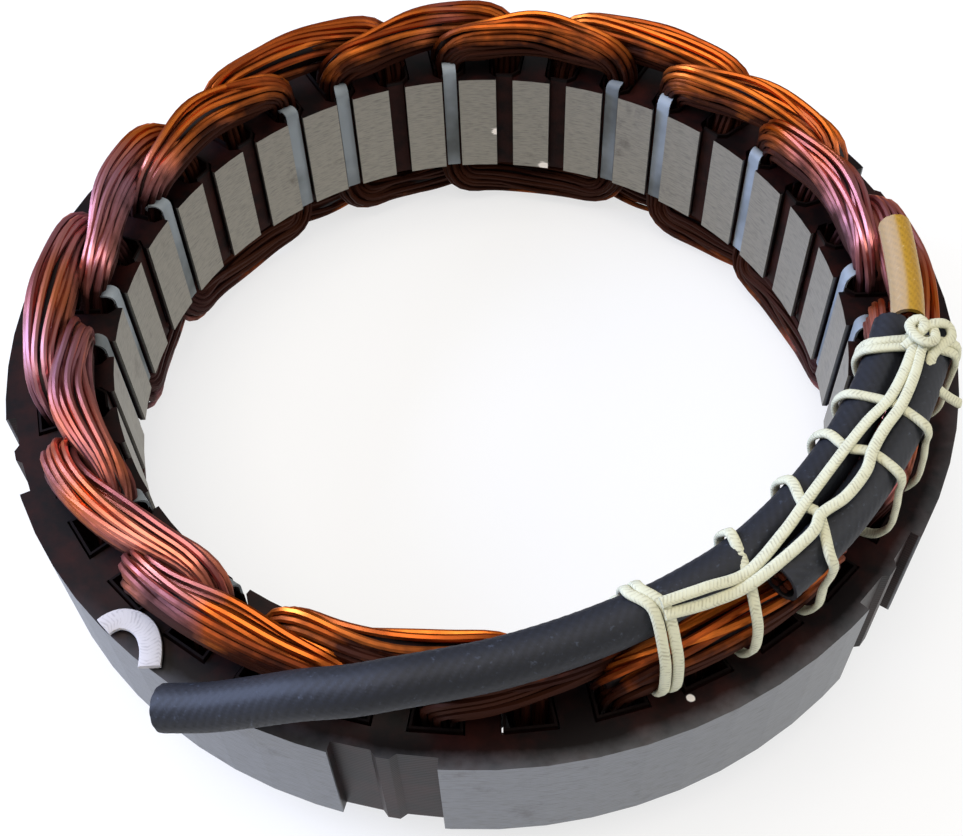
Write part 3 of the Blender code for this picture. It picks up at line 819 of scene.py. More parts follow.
@dataclass
class Coil:
    """One lap coil: the stations along a head, and the turns of wire laid over them.

    Its ends lie a little lower than its middle, so that they dip under the coils next to it, and they keep
    to one side of their layer, so that all turns run outward the same way round. A wire is packed at its
    width and drawn a little thinner, which opens the dark gaps between turns.
    """

    phase: Phase
    number: int
    span: int = 3
    turns: int = 28
    wire: float = 1.0 * MM
    drawn: float = 0.9 * MM
    sides: int = 7
    # The head: its bend out of the slot, its thickness, its dip at the ends and its fanning in the middle.
    bend: float = 4.6 * MM
    thickness: float = 7.6 * MM
    leg_thickness: float = 4.4 * MM
    bulge: float = 0.9 * MM
    drop: float = 0.9 * MM
    drop_reach: float = 0.95
    taper: float = 0.12
    overhang: float = 0.8 * MM
    crossing: tuple[float, float] = (0.15, 0.7)
    step: float = 1.4 * MM
    fan: float = 2.8 * MM
    fan_reach: float = 0.75
    lower_lean: float = 1.3 * MM
    near_lean: float = 0.9 * MM
    clear_radius: float = 50.4 * MM
    # How the turns settle in the section, and how smoothly they run.
    wander: float = 0.65 * MM
    lay_twist: float = 0.35
    keys: int = 5
    easing: int = 9
    smoothing: int = 3
    rounds: int = 60
    push: float = 0.4
    room: float = 1.02
    squareness: float = 2.8
    heart_inset: float = 1.6 * MM
    heart_corners: tuple[int, float] = (10, 0.7)
    # Varnish and painted shade on each turn of the upper and the lower head, and how much more is painted
    # low down, inside and on the shaded sides.
    shade_and_varnish_base: tuple[float, float] = (0.16, 0.5)
    shade_and_varnish_more: tuple[float, float, float] = (0.9, 0.9, 0.5)

    def __post_init__(self) -> None:
        """Gives the coil its own steady source of chance."""
        self.rng = np.random.default_rng(100 * ord(self.phase.name) + self.number)

    @property
    def name(self) -> str:
        """The name of the node that the coil stands for."""
        return f"phase_{self.phase.name.lower()}_coil_{self.number}"

    @property
    def tooth_length(self) -> float:
        """Distance from one tooth to the next, in the middle of the heads."""
        return (RING.head_inner + RING.head_outer) / 2 * RING.pitch

    @property
    def first(self) -> float:
        """The place of the coil's first slot."""
        return self.phase.value + 6 * (self.number - 1)

    def layer(self, number: float, share: float) -> Array:
        """Edges of a layer, or of a place between the two.

        Args:
            number: 0 for the inner layer, 1 for the outer one, or a value between them.
            share: how far along the coil, from 0 to 1.

        Returns:
            The inner and the outer edge.
        """
        inner = RING.head_inner + number * (RING.layer_width + RING.layer_gap)
        free = RING.layer_width * self.taper
        way = float(smooth_step(share))
        outer = inner + RING.layer_width + number * self.overhang
        return np.array((inner + free * way, outer - free * (1 - way)))

    def edges(self, tooth: float) -> Array:
        """Edges of the level head, fanned out where there is room.

        Args:
            tooth: the place round the ring.

        Returns:
            The inner and the outer edge.
        """
        share = (tooth - self.first) / self.span
        start, end = self.phase.layers
        begin, length = self.crossing
        edges = self.layer(start + (end - start) * float(np.clip((share - begin) / length, 0, 1)), share)
        bump = math.exp(-(((share - 0.5) * self.span / self.fan_reach) ** 2)) * self.fan
        inward, outward = self.phase.spread
        return edges + np.array((-inward, outward)) * bump

    def height(self, place: float, begin: float, finish: float) -> float:
        """Height of the level head's middle above the core, which dips towards both ends.

        Args:
            place: the place round the ring.
            begin: where the level head begins.
            finish: where it ends.

        Returns:
            The height.
        """
        near = min(place - begin, finish - place) / self.drop_reach
        return RING.head_top - self.thickness / 2 - self.drop * (1 - float(smooth_step(near)))

    def neck(self, side: int) -> list[tuple[float, ...]]:
        """Rows up out of one slot and round the bend, which swells outward.

        Args:
            side: 1 at the coil's first slot, and -1 at its last.

        Returns:
            The rows, from the middle of the stack to the level head.
        """
        tooth = self.first if side > 0 else self.first + self.span
        head = self.layer(self.phase.layers[0 if side > 0 else 1], 0.0 if side > 0 else 1.0)
        leg = np.array((RING.leg_inner, RING.leg_outer))
        foot = RING.head_top - self.thickness / 2 - self.drop - self.bend
        upright = 0.0 if side > 0 else math.pi
        heights = ((RING.low - RING.top) / 2 + 2 * MM, -4 * MM, -2 * MM)
        rows = [(tooth, height, upright, *leg, self.leg_thickness) for height in heights]
        for angle in np.radians(np.arange(0, 91, 15)):
            share = float(smooth_step(0.25 + angle / math.radians(70)))
            swell = self.bulge * math.sin(2 * angle)
            reach = self.bend + swell / 2
            edges = leg + (head - leg) * share
            depth = self.leg_thickness + (self.thickness - self.leg_thickness) * share + swell
            shift = (self.bend - reach * math.cos(angle)) / self.tooth_length
            lean = angle if side > 0 else math.pi - angle
            rows.append((tooth + side * shift, foot + reach * math.sin(angle), lean, *edges, depth))
        return rows

    def stations(self) -> Array:
        """Stations along one head, from the middle of one leg to the middle of the other.

        Returns:
            A row for each, with the columns that Column names.
        """
        rise, fall = self.neck(1), self.neck(-1)[::-1]
        begin, finish = rise[-1][Column.TOOTH], fall[0][Column.TOOTH]
        count = round((finish - begin) * self.tooth_length / self.step)
        level = [
            (place, self.height(place, begin, finish), math.pi / 2, *self.edges(place), self.thickness)
            for place in np.linspace(begin, finish, count + 1)[1:-1]
        ]
        return np.array(rise + level + fall)

    def relaxed(self, places: Array, half: Array) -> Array:
        """Pushes wires apart and back inside a section with well-rounded corners.

        Args:
            places: the wires' middles, in metres from the section's middle.
            half: half the width and half the thickness that the middles may use.

        Returns:
            The new middles.
        """
        for _ in range(self.rounds):
            apart = places[:, None] - places[None]
            far = np.linalg.norm(apart, axis=2) + np.eye(len(places))
            push = np.clip(self.wire * self.room - far, 0, None) * (1 - np.eye(len(places)))
            places = places + self.push * np.sum(apart / far[..., None] * push[..., None], axis=1)
            out = np.sum(np.abs(places / half) ** self.squareness, axis=1) ** (1 / self.squareness)
            places = places / np.clip(out, 1.0, None)[:, None]
        return places

    def wire_places(self, rows: Array) -> Array:
        """Where each wire lies in the section, station by station, in metres.

        Args:
            rows: the stations.

        Returns:
            Stations, wires, and the two offsets.
        """
        keys = np.linspace(0, len(rows) - 1, self.keys).round().astype(int)
        start = self.rng.uniform(-1, 1, (self.turns, 2))
        turn = self.lay_twist
        spin = np.array(((math.cos(turn), -math.sin(turn)), (math.sin(turn), math.cos(turn))))
        found = []
        for key in keys:
            size = np.array((rows[key, Column.OUTER] - rows[key, Column.INNER], rows[key, Column.DEPTH]))
            half = size / 2 - self.wire / 2
            moved = (start @ spin) * half + self.rng.normal(0, self.wander, (self.turns, 2))
            settled = self.relaxed(moved, half)
            found.append(settled)
            start = settled / half
        flat = np.array(found).reshape(len(keys), -1)
        every = np.arange(len(rows))
        dense = np.stack([np.interp(every, keys, flat[:, i]) for i in range(flat.shape[1])], axis=1)
        for _ in range(self.easing):
            padded = np.vstack((dense[:1], dense, dense[-1:]))
            dense = (padded[:-2] + 2 * padded[1:-1] + padded[2:]) / 4
        return dense.reshape(len(rows), self.turns, 2)

    def lines(self, rows: Array, up: bool) -> tuple[Array, Array, Array]:
        """The section's middle, and the two ways across it, at each station.

        Args:
            rows: the stations.
            up: True for the head on top, and False for the one underneath.

        Returns:
            Middles, radial vectors, and vectors towards the inside of the coil.
        """
        turn = RING.turn(rows[:, Column.TOOTH])
        zero = np.zeros(len(rows))
        radial = np.stack((np.sin(turn), np.cos(turn), zero), axis=1)
        along = np.stack((np.cos(turn), -np.sin(turn), zero), axis=1)
        rise = rows[:, Column.HEIGHT]
        lean = self.near_lean * np.clip(-np.cos(turn), 0, 1) if up else self.lower_lean
        lean = lean * np.clip(rise / RING.head_top, 0, 1)
        middle = radial * ((rows[:, Column.INNER] + rows[:, Column.OUTER]) / 2 - lean)[:, None]
        middle[:, 2] = RING.top + rise if up else RING.low - rise
        inward = along * np.cos(rows[:, Column.LEAN])[:, None]
        inward[:, 2] -= (1 if up else -1) * np.sin(rows[:, Column.LEAN])
        return middle, radial, inward

    def soak(self, rows: Array, places: Array, radial: Array, up: bool) -> Array:
        """How dark each wire is painted: its varnish, and painted shade low down, deep in the bundle, on
        the outer side at the front and on the far side.

        Args:
            rows: the stations.
            places: where each wire lies in the section.
            radial: the way away from the bore at each station.
            up: True for the head on top, and False for the one underneath.

        Returns:
            Stations and wires, from 0 to 1.
        """
        lowness = np.clip(1 - rows[:, Column.HEIGHT] / RING.head_top, 0, 1)[:, None]
        inside = places[..., 1] / self.thickness
        # Painted shade: the outer side of the turns at the front, and the far side of the ring.
        front = np.clip(-radial[:, 1:2], 0, 1) ** 4
        back = np.clip(radial[:, 1:2], 0, 1)
        shaded = front * np.clip(places[..., 0] / (2 * MM) + 0.3, 0, 1) + 0.3 * back
        base = self.shade_and_varnish_base[0 if up else 1]
        low, deep, dim = self.shade_and_varnish_more
        return np.clip(low * lowness**2 + deep * inside + dim * shaded + base, 0, 1)

    def heart(self, rows: Array, middle: Array, radial: Array, inward: Array) -> Array:
        """The varnished heart that fills the section behind the outer turns.

        Args:
            rows: the stations.
            middle: the section's middle at each of them.
            radial: the first way across it.
            inward: the second one.

        Returns:
            Rings, points of each, coordinates.
        """
        size = np.stack((rows[:, Column.OUTER] - rows[:, Column.INNER], rows[:, Column.DEPTH]), axis=1)
        half = size / 2 - self.heart_inset
        wide, deep = rounded_square(*self.heart_corners)
        ring = middle[:, None] + radial[:, None] * (half[:, :1] * wide)[..., None]
        return ring + inward[:, None] * (half[:, 1:] * deep)[..., None]

    def eased(self, wires: Array) -> Array:
        """Wires without kinks, and clear of the bore.

        Args:
            wires: stations, wires, coordinates, round the closed coil.

        Returns:
            The same with new coordinates.
        """
        for _ in range(self.smoothing):
            wires = (np.roll(wires, 1, axis=0) + 2 * wires + np.roll(wires, -1, axis=0)) / 4
        far = np.linalg.norm(wires[..., :2], axis=2, keepdims=True)
        wires[..., :2] *= np.maximum(far, self.clear_radius) / far
        return wires

    def build(self, copper: Material, varnish: Material) -> None:
        """Makes the coil's turns and the varnished heart between them.

        Args:
            copper: the wire's material.
            varnish: the heart's material.
        """
        rows = self.stations()
        runs, facings, hearts, shade_and_varnish_parts = [], [], [], []
        for up in (True, False):
            ordered = rows if up else rows[::-1]
            middle, radial, inward = self.lines(ordered, up)
            places = self.wire_places(ordered)
            outward = radial[:, None] * places[..., :1]
            runs.append(middle[:, None] + outward + inward[:, None] * places[..., 1:])
            facings.append(radial)
            hearts.append(self.heart(ordered, middle, radial, inward))
            shade_and_varnish_parts.append(self.soak(ordered, places, radial, up))
        wires = self.eased(np.concatenate(runs))
        facing, soak = np.concatenate(facings), np.concatenate(shade_and_varnish_parts)
        # Painted pink sheen on the turns that face left and right.
        bloom = np.abs(facing[:, :1]) ** 4
        pile = MeshPile()
        pile.grid(np.concatenate(hearts), True, slot=1, tone=NONE, soak=NONE + 1, bloom=NONE)
        for i in range(self.turns):
            across = frames(wires[:, i], facing, True)
            rings = round_grid(wires[:, i], *across, self.drawn / 2, self.sides)
            tone = np.full((1, 1), self.rng.uniform(0, 1))
            pile.grid(rings, True, tone=tone, soak=soak[:, i : i + 1], bloom=bloom)
        seat(pile.build(self.name + "_turns", [copper, varnish]), self.name)


@dataclass(frozen=True)
class Winding:
    """The eighteen coils."""

    coils_per_phase: int = 6
    varnish: BakedVarnish = BakedVarnish()

    def build(self, copper: Material) -> None:
        """Makes all coils.

        Args:
            copper: the wire's material.
        """
        varnish = self.varnish.build()
        for phase in Phase:
            for number in range(1, self.coils_per_phase + 1):
                Coil(phase, number).build(copper, varnish)


@dataclass(frozen=True)
class Core:
    """The ring of laminations, with its edges slightly rounded."""

    finish: LaminatedSteel = LaminatedSteel()
    edge: float = 0.18 * MM
    edge_angle: float = math.radians(40)

    def build(self) -> None:
        """Gives the core its finish and rounds its edges."""
        bevel = dress("stator_core", self.finish.build()).modifiers.new("rounded_edges", "BEVEL")
        bevel.width = self.edge
        bevel.segments = 2
        bevel.limit_method = "ANGLE"
        bevel.angle_limit = self.edge_angle


@dataclass(frozen=True)
class Liners:
    """Slot liners. Where a coil comes up on the inside, the flap's end curls over the tooth."""

    pale: InsulatingSheet = InsulatingSheet("pale_slot_insulation", "8D9599", "4A4E4C", 0.6, 0.4, 14 * MM)
    # The brown sheet is kept near black: partly its varnish, partly painted shade in the slots.
    brown: InsulatingSheet = InsulatingSheet(
        "varnished_slot_insulation", "280F0A", "0E0504", 0.6, 0.08, shade_and_varnish_dark=0.9
    )
    thickness: float = 0.3 * MM
    mouth: float = 2.1 * MM
    proud: float = 0.4 * MM
    flap_radius: float = 50.75 * MM
    straight: float = 2 * MM
    curl_radius: float = 1.0 * MM
    curl_degrees: tuple[float, float] = (120, 215)
    stand: float = 1.3 * MM
    # The flap narrows over its last rings.
    narrowing: tuple[float, ...] = (0.97, 0.9, 0.78, 0.6)

    def tabbed(self, number: int) -> bool:
        """True in the slots whose flap shows above the core."""
        return number % 6 in (2, 3, 5)

    def folded_sheet(self, node: Object, pile: MeshPile) -> None:
        """Adds a liner's fold round the slot, with its flap's plain end taken down level with the rest.

        Args:
            node: the liner's solid.
            pile: where the sheet goes, with material number 1.
        """
        points = np.array([node.matrix_world @ vertex.co for vertex in node.data.vertices])
        points[:, 2] = np.minimum(points[:, 2], RING.top + self.proud)
        pile.shell(points, [tuple(face.vertices) for face in node.data.polygons], 1)

    def curled_flap(self, number: int, pile: MeshPile) -> None:
        """Adds one flap: a strip up the slot's mouth, whose end curls away from the bore.

        Args:
            number: the slot, counted from 0.
            pile: where the strip goes, with material number 0.
        """
        rng = np.random.default_rng(700 + number)
        turn = RING.turn(number + 0.5)
        outward = np.array((math.sin(turn), math.cos(turn), 0.0))
        along = np.array((math.cos(turn), -math.sin(turn), 0.0))
        reach = math.radians(rng.uniform(*self.curl_degrees))
        curl = self.curl_radius * rng.uniform(0.8, 1.25)
        # The flaps stand lowest at +Y and highest at -Y.
        stand = self.stand * rng.uniform(0.7, 1.2) * (0.35 + 0.45 * (1 - math.cos(turn)))
        lean = rng.uniform(-0.5, 0.5)
        heights = (RING.low - self.proud, RING.top - self.straight, RING.top + stand)
        line = [(0.0, height, 0.0) for height in heights]
        for angle in np.linspace(0, reach, 9)[1:]:
            out = curl * (1 - math.cos(angle))
            line.append((out, RING.top + stand + curl * math.sin(angle), lean * out))
        path = np.array([outward * (self.flap_radius + out) + along * aside for out, _, aside in line])
        path[:, 2] = [height for _, height, _ in line]
        normal = np.cross(tangents(path, False), along)
        width = np.full(len(path), self.mouth / 2)
        width[-len(self.narrowing):] *= self.narrowing
        corners = ((1, 1), (-1, 1), (-1, -1), (1, -1))
        half = self.thickness / 2
        rings = [path + along * (width * a)[:, None] + normal * (half * b) for a, b in corners]
        pile.grid(np.stack(rings, axis=1), False)

    def build(self) -> None:
        """Dresses the plain liners, and makes those whose flaps curl."""
        pale, brown = self.pale.build(), self.brown.build()
        for number in range(RING.slots):
            name = f"slot_liner_{number + 1:02d}"
            if not self.tabbed(number):
                dress(name, brown)
                continue
            pile = MeshPile()
            self.curled_flap(number, pile)
            self.folded_sheet(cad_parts[name], pile)
            seat(pile.build(name + "_folded", [pale, brown]), name)


@dataclass(frozen=True)
class Sleeve:
    """A braided sleeve, open at its ends, with the lead's strands just inside.

    The route gives the place in teeth, the distance out from the heads' inner edge in millimetres, and the
    drop below the height at which the sleeve rests on the heads. Where it is laced it is pressed narrower.
    """

    node: str
    diameter: float
    route: Route
    slot: str
    carriers: int = 12
    points_per_carrier: int = 5
    plait: float = 1.25 * MM
    relief: float = 0.13 * MM
    wall: float = 0.55 * MM
    resting_gap: float = 0.3 * MM
    pressed: float = 0.0
    laced_to: float = 16.6
    # How much painted highlight the side towards the bore takes.
    faded: float = 0.0
    # The strands in each mouth. Their spread is a share of the room that the bore leaves.
    strands: int = 5
    strand: float = 1.15 * MM
    strand_sides: int = 7
    strand_spread: float = 0.72
    strand_rings: int = 14
    # Strands in a mouth are painted darker, for varnish and for the shade inside the sleeve.
    strand_shade_and_varnish: float = 0.6
    mouth_rings: int = 6

    @property
    def rest(self) -> float:
        """Height of the sleeve's middle above the core where it lies on the heads."""
        return RING.head_top + self.resting_gap + self.diameter / 2

    def radius_at(self, tooth: float) -> float:
        """Radius of the sleeve's middle line at a place round the ring."""
        teeth, outs, _ = zip(*self.route)
        return RING.head_inner + float(np.interp(tooth, teeth, outs)) * MM

    def path(self) -> Array:
        """Finds the sleeve's middle line.

        Returns:
            Its points.
        """
        edge, rest = RING.head_inner, self.rest
        points = [RING.at(tooth, edge + out * MM, rest - drop * MM) for tooth, out, drop in self.route]
        return curve_through(points, self.plait / 4)

    def declare_free(self, piece: Object) -> None:
        """Finds the sleeve's middle line and does nothing more with it.

        Args:
            piece: the sleeve; not used.
        """
        line = self.path()

    def across(self, line: Array) -> tuple[Array, Array]:
        """The two ways across the sleeve, shortened and lengthened where the lacing presses it.

        Args:
            line: its middle line.

        Returns:
            The two rows of vectors.
        """
        up, side = steady_frames(line)
        turn = np.degrees(np.arctan2(line[:, 0], line[:, 1]) % math.tau - RING.turn(0))
        press = self.pressed * smooth_step((self.laced_to - turn / math.degrees(RING.pitch)) / 0.8)[:, None]
        return up * (1 + 0.3 * press), side * (1 - press)

    def rise(self, line: Array, sides: int) -> Array:
        """How far the surface stands out of the plait: two sets of yarns that go over and under each other.

        Args:
            line: the middle line.
            sides: points on a ring.

        Returns:
            Rings and points, from 0 in a hollow to 1 on top of a yarn.
        """
        around = (np.arange(sides) / sides * self.carriers)[None]
        along = run_lengths(line)[:, None] / self.plait
        one, two = around + along, around - along
        over = (np.floor(one) + np.floor(two)) % 2
        rise = np.where(over > 0.5, np.abs(np.sin(math.pi * one)), np.abs(np.sin(math.pi * two)))
        return rise**0.6

    def fade(self, rings: Array) -> Array:
        """How much painted highlight each point takes, on the side that looks to the bore.

        Args:
            rings: rings, points of each, coordinates.

        Returns:
            Rings and points, from 0 to the sleeve's own share.
        """
        middles = rings.mean(axis=1)
        level = middles * (1, 1, 0)
        way = level / np.linalg.norm(level, axis=1, keepdims=True)
        to_bore = -(rings - rings.mean(axis=1, keepdims=True)) @ way.T
        near = np.stack([to_bore[i, :, i] for i in range(len(rings))]) / (self.diameter / 2)
        return self.faded * smooth_step((near - 0.05) / 0.3)

    def build(self, sleeving: Material, copper: Material) -> Object:
        """Makes the sleeve and the strands in its mouths.

        Args:
            sleeving: the braid's material.
            copper: the strands' material.

        Returns:
            The sleeve.
        """
        line = self.path()
        up, side = self.across(line)
        sides = self.carriers * self.points_per_carrier
        rise = self.rise(line, sides)
        outer = round_grid(line, up, side, self.diameter / 2 - self.relief * (1 - rise), sides)
        bore = self.diameter / 2 - self.wall
        depth = self.mouth_rings
        near, far = slice(depth - 1, None, -1), slice(-1, -1 - depth, -1)
        mouths = [round_grid(line[end], up[end], side[end], bore, sides) for end in (near, far)]
        rings = np.concatenate((mouths[0], outer, mouths[1]))
        # The inside of each mouth takes the hollow colour, painted shade.
        hollow = np.zeros((depth, sides))
        pile = MeshPile()
        lift = np.concatenate((hollow, rise, hollow))
        pile.grid(rings, False, rise=lift, tone=NONE, soak=NONE, faded=self.fade(rings))
        reach = (bore - self.strand / 2) * self.strand_spread
        shade_and_varnish_dark = NONE + self.strand_shade_and_varnish
        for end in (slice(0, self.strand_rings), slice(-self.strand_rings, None)):
            for angle in np.arange(self.strands) * math.tau / self.strands:
                shift = up[end] * math.cos(angle) * reach + side[end] * math.sin(angle) * reach
                ring = round_grid(line[end] + shift, up[end], side[end], self.strand / 2, self.strand_sides)
                pile.grid(ring, False, slot=1, rise=NONE, tone=NONE, soak=shade_and_varnish_dark, faded=NONE)
        return seat(pile.build(self.node + "_braid", [sleeving, copper]), self.node)


@dataclass(frozen=True)
class Hitch:
    """One turn of the lacing cord: where it crosses the top, and the places of its two legs, in teeth."""

    top: Route
    outer_leg: float
    inner_leg: float


@dataclass(frozen=True)
class Lacing:
    """Flat cord laced round winding and sleeves: eight turns, two strands along the top, a knot and a tail.

    Places on top are in teeth and millimetres from the axis. The knot and the tail add the height above the
    core's end face, in millimetres.
    """

    long: Sleeve
    short: Sleeve
    width: float = 1.3 * MM
    thickness: float = 0.75 * MM
    corners: tuple[int, float] = (10, 0.75)
    spacing: float = 0.45 * MM
    # Plait widths that one step round the cord counts for.
    plaits: float = 0.6
    middle_radius: float = 55.5 * MM
    middle_height: float = 8 * MM
    lying: float = 0.45 * MM
    crossing: float = 0.95 * MM
    # How deep the cord sinks between the two sleeves.
    bridge: float = 0.25 * MM

    hitches: tuple[Hitch, ...] = (
        Hitch(((16.14, 56.3),), 16.13, 16.31),
        Hitch(((16.00, 56.4),), 15.99, 16.17),
        Hitch(((14.98, 56.7),), 15.06, 14.88),
        Hitch(((13.93, 54.2), (13.91, 56.2)), 14.16, 13.78),
        Hitch(((12.92, 53.4), (12.81, 55.8)), 12.83, 12.87),
        Hitch(((12.02, 54.6), (12.04, 56.1)), 12.09, 12.11),
        Hitch(((11.05, 55.6),), 10.97, 11.26),
        Hitch(((10.93, 55.6),), 10.84, 11.13),
    )
    left_strand: Route = (
        (16.05, 56.1), (15.50, 56.2), (14.98, 56.4), (14.40, 55.4), (13.93, 54.3), (13.40, 53.6),
        (12.92, 53.4), (12.45, 53.7), (12.02, 54.6), (11.55, 55.0), (11.01, 55.4),
    )
    right_strand: Route = (
        (16.05, 57.1), (15.50, 57.4), (14.98, 57.6), (14.21, 57.4), (13.91, 56.4), (13.55, 56.9),
        (13.12, 56.7), (12.81, 55.9), (12.44, 55.7), (12.04, 56.1), (11.54, 56.2), (11.01, 56.2),
    )
    knot: Route = (
        (11.15, 54.2, 16.0), (10.98, 55.2, 16.6), (10.82, 56.0, 17.1), (10.74, 55.2, 17.3),
        (10.84, 54.3, 17.0), (11.02, 55.0, 17.3), (11.08, 56.4, 17.2), (10.95, 57.4, 16.7),
        (10.78, 56.9, 16.6), (10.80, 55.6, 16.4), (10.95, 54.6, 16.0),
    )
    tail: Route = (
        (10.86, 55.4, 16.9), (10.72, 57.3, 16.9), (10.66, 58.8, 16.2), (10.78, 59.4, 15.6),
        (10.94, 58.4, 15.7), (11.12, 57.6, 15.6), (11.30, 57.9, 14.8), (11.38, 59.2, 13.4),
        (11.35, 60.7, 12.0), (11.29, 62.3, 10.6),
    )

    def lay(self, pile: MeshPile, points: list[Array], closed: bool = False) -> None:
        """Adds one run of cord, with its flat side on what it lies on.

        Args:
            pile: where it goes.
            points: what the cord follows.
            closed: whether the run closes on itself.
        """
        line = curve_through(points, self.spacing, closed)
        turn = np.arctan2(line[:, 0], line[:, 1])
        height = np.full(len(line), RING.top + self.middle_height)
        radius = self.middle_radius
        middle = np.stack((np.sin(turn) * radius, np.cos(turn) * radius, height), axis=1)
        size = (self.width, self.thickness)
        pile.grid(flat_grid(line, line - middle, closed, size, self.corners), closed)

    def surface(self, tooth: float, radius: float) -> float:
        """Height above the core of what a strand lies on: the sleeves, and the bridge between the two.

        Args:
            tooth: the place round the ring.
            radius: the distance from the axis.

        Returns:
            The height.
        """
        height = 0.0
        half = self.long.diameter / 2
        sleeves = [self.long.radius_at(tooth)]
        if tooth < self.short.route[-1][0]:
            sleeves.append(self.short.radius_at(tooth))
            if sleeves[0] < radius < sleeves[1]:
                height = self.long.rest + half - self.bridge
        for middle in sleeves:
            off = min(abs(radius - middle), half * 0.95)
            height = max(height, self.long.rest + math.sqrt(half**2 - off**2))
        return height

    def on_top(self, tooth: float, radius_mm: float, lift: float) -> Array:
        """Point on top of the sleeves, at a place round the ring and a distance from the axis."""
        radius = radius_mm * MM
        return RING.at(tooth, radius, self.surface(tooth, radius) + lift)

    def round_bundle(self, hitch: Hitch) -> list[Array]:
        """Points of one turn: across the top, down outside, under the heads and up inside.

        Args:
            hitch: which turn.

        Returns:
            The points, of a closed line.
        """
        reach = self.long.diameter / 2 + self.lying
        tooth = hitch.outer_leg
        over = [self.on_top(place, radius, self.lying) for place, radius in hitch.top]
        down = []
        if tooth < self.short.route[-1][0]:
            far = self.short.radius_at(tooth)
            for angle in np.radians((50, 20, -15)):
                down.append((far + reach * math.cos(angle), self.short.rest + reach * math.sin(angle)))
        else:
            down.append((RING.head_outer + 0.1 * MM, RING.head_top + 2.2 * MM))
        high, low, under = 8.8 * MM, 4.5 * MM, 1.4 * MM
        edge = RING.head_outer + 1.2 * MM
        down += [(edge, high), (edge, low), (RING.head_outer - 1 * MM, under)]
        edge = RING.head_inner - 0.7 * MM
        up = [(RING.head_inner + 1 * MM, under), (edge, low), (edge, high)]
        near = self.long.radius_at(hitch.inner_leg)
        for angle in np.radians((205, 175, 145, 115)):
            up.append((near + reach * math.cos(angle), self.long.rest + reach * math.sin(angle)))
        points = over + [RING.at(tooth, radius, height) for radius, height in down]
        return points + [RING.at(hitch.inner_leg, radius, height) for radius, height in up]

    def build(self, cord: Material) -> None:
        """Makes the lacing.

        Args:
            cord: the cord's material.
        """
        pile = MeshPile()
        for hitch in self.hitches:
            self.lay(pile, self.round_bundle(hitch), True)
        for strand in (self.left_strand, self.right_strand):
            self.lay(pile, [self.on_top(tooth, radius, self.crossing) for tooth, radius in strand])
        for run in (self.knot, self.tail):
            self.lay(pile, [RING.at(tooth, radius * MM, height * MM) for tooth, radius, height in run])
        piece = pile.build("lacing_cord_plait", [cord], (self.plaits, self.spacing / BraidedCord.plait))
        seat(piece, "lacing_cord")


@dataclass(frozen=True)
class TailLoop:
    """A loose end of the lacing cord, pressed flat in an arch on the core's end face, grey with dirt."""

    width: float = 2.7 * MM
    thickness: float = 0.7 * MM
    lift: float = 0.3 * MM
    corners: tuple[int, float] = (12, 0.5)
    spacing: float = 0.5 * MM
    # Plait widths that one step round the cord counts for.
    plaits: float = 0.75
    # Place in teeth, and millimetres from the axis.
    route: Route = (
        (22.33, 63.9), (22.32, 63.0), (22.26, 61.8), (22.12, 61.0),
        (21.95, 61.0), (21.80, 61.8), (21.70, 62.8), (21.62, 63.9),
    )

    def build(self, cord: Material) -> None:
        """Makes the arch.

        Args:
            cord: the cord's material.
        """
        height = self.lift + self.thickness / 2
        points = [RING.at(tooth, radius * MM, height) for tooth, radius in self.route]
        line = curve_through(points, self.spacing)
        facing = np.broadcast_to((0.0, 0.0, 1.0), line.shape)
        pile = MeshPile()
        pile.grid(flat_grid(line, facing, False, (self.width, self.thickness), self.corners), False)
        piece = pile.build("cord_tail_arch", [cord], (self.plaits, self.spacing / BraidedCord.plait))
        seat(piece, "cord_tail_loop")


LONG_ROUTE = (
    (10.55, 1.6, 0), (11.1, 1.2, 0), (11.8, 0.9, 0), (12.6, 0.9, 0), (13.4, 1.2, 0), (14.2, 1.8, 0),
    (15.0, 2.6, 0), (15.9, 3.4, 0), (16.5, 4.1, 0), (17.15, 5.1, 0), (17.8, 6.4, 0), (18.3, 7.5, 0),
    (18.8, 8.9, 0), (19.25, 10.1, 1.0), (19.75, 11.1, 2.8), (20.22, 12.2, 5.8), (20.7, 13.8, 8.8),
    (21.15, 15.7, 10.8),
)
# The lacing presses the short sleeve against the long one, closer than two round bars can lie.
SHORT_ROUTE = (
    (10.6, 6.6, 0), (11.2, 6.1, 0), (12.0, 5.8, 0), (12.8, 5.85, 0), (13.5, 6.2, 0), (14.1, 6.6, 0.1),
    (14.65, 7.0, 0.5),
)
YELLOW_ROUTE = ((8.6, 3.8, 0.1), (8.8, 3.6, 0), (9.2, 3.4, 0), (9.8, 3.4, 0), (10.3, 3.5, 0))


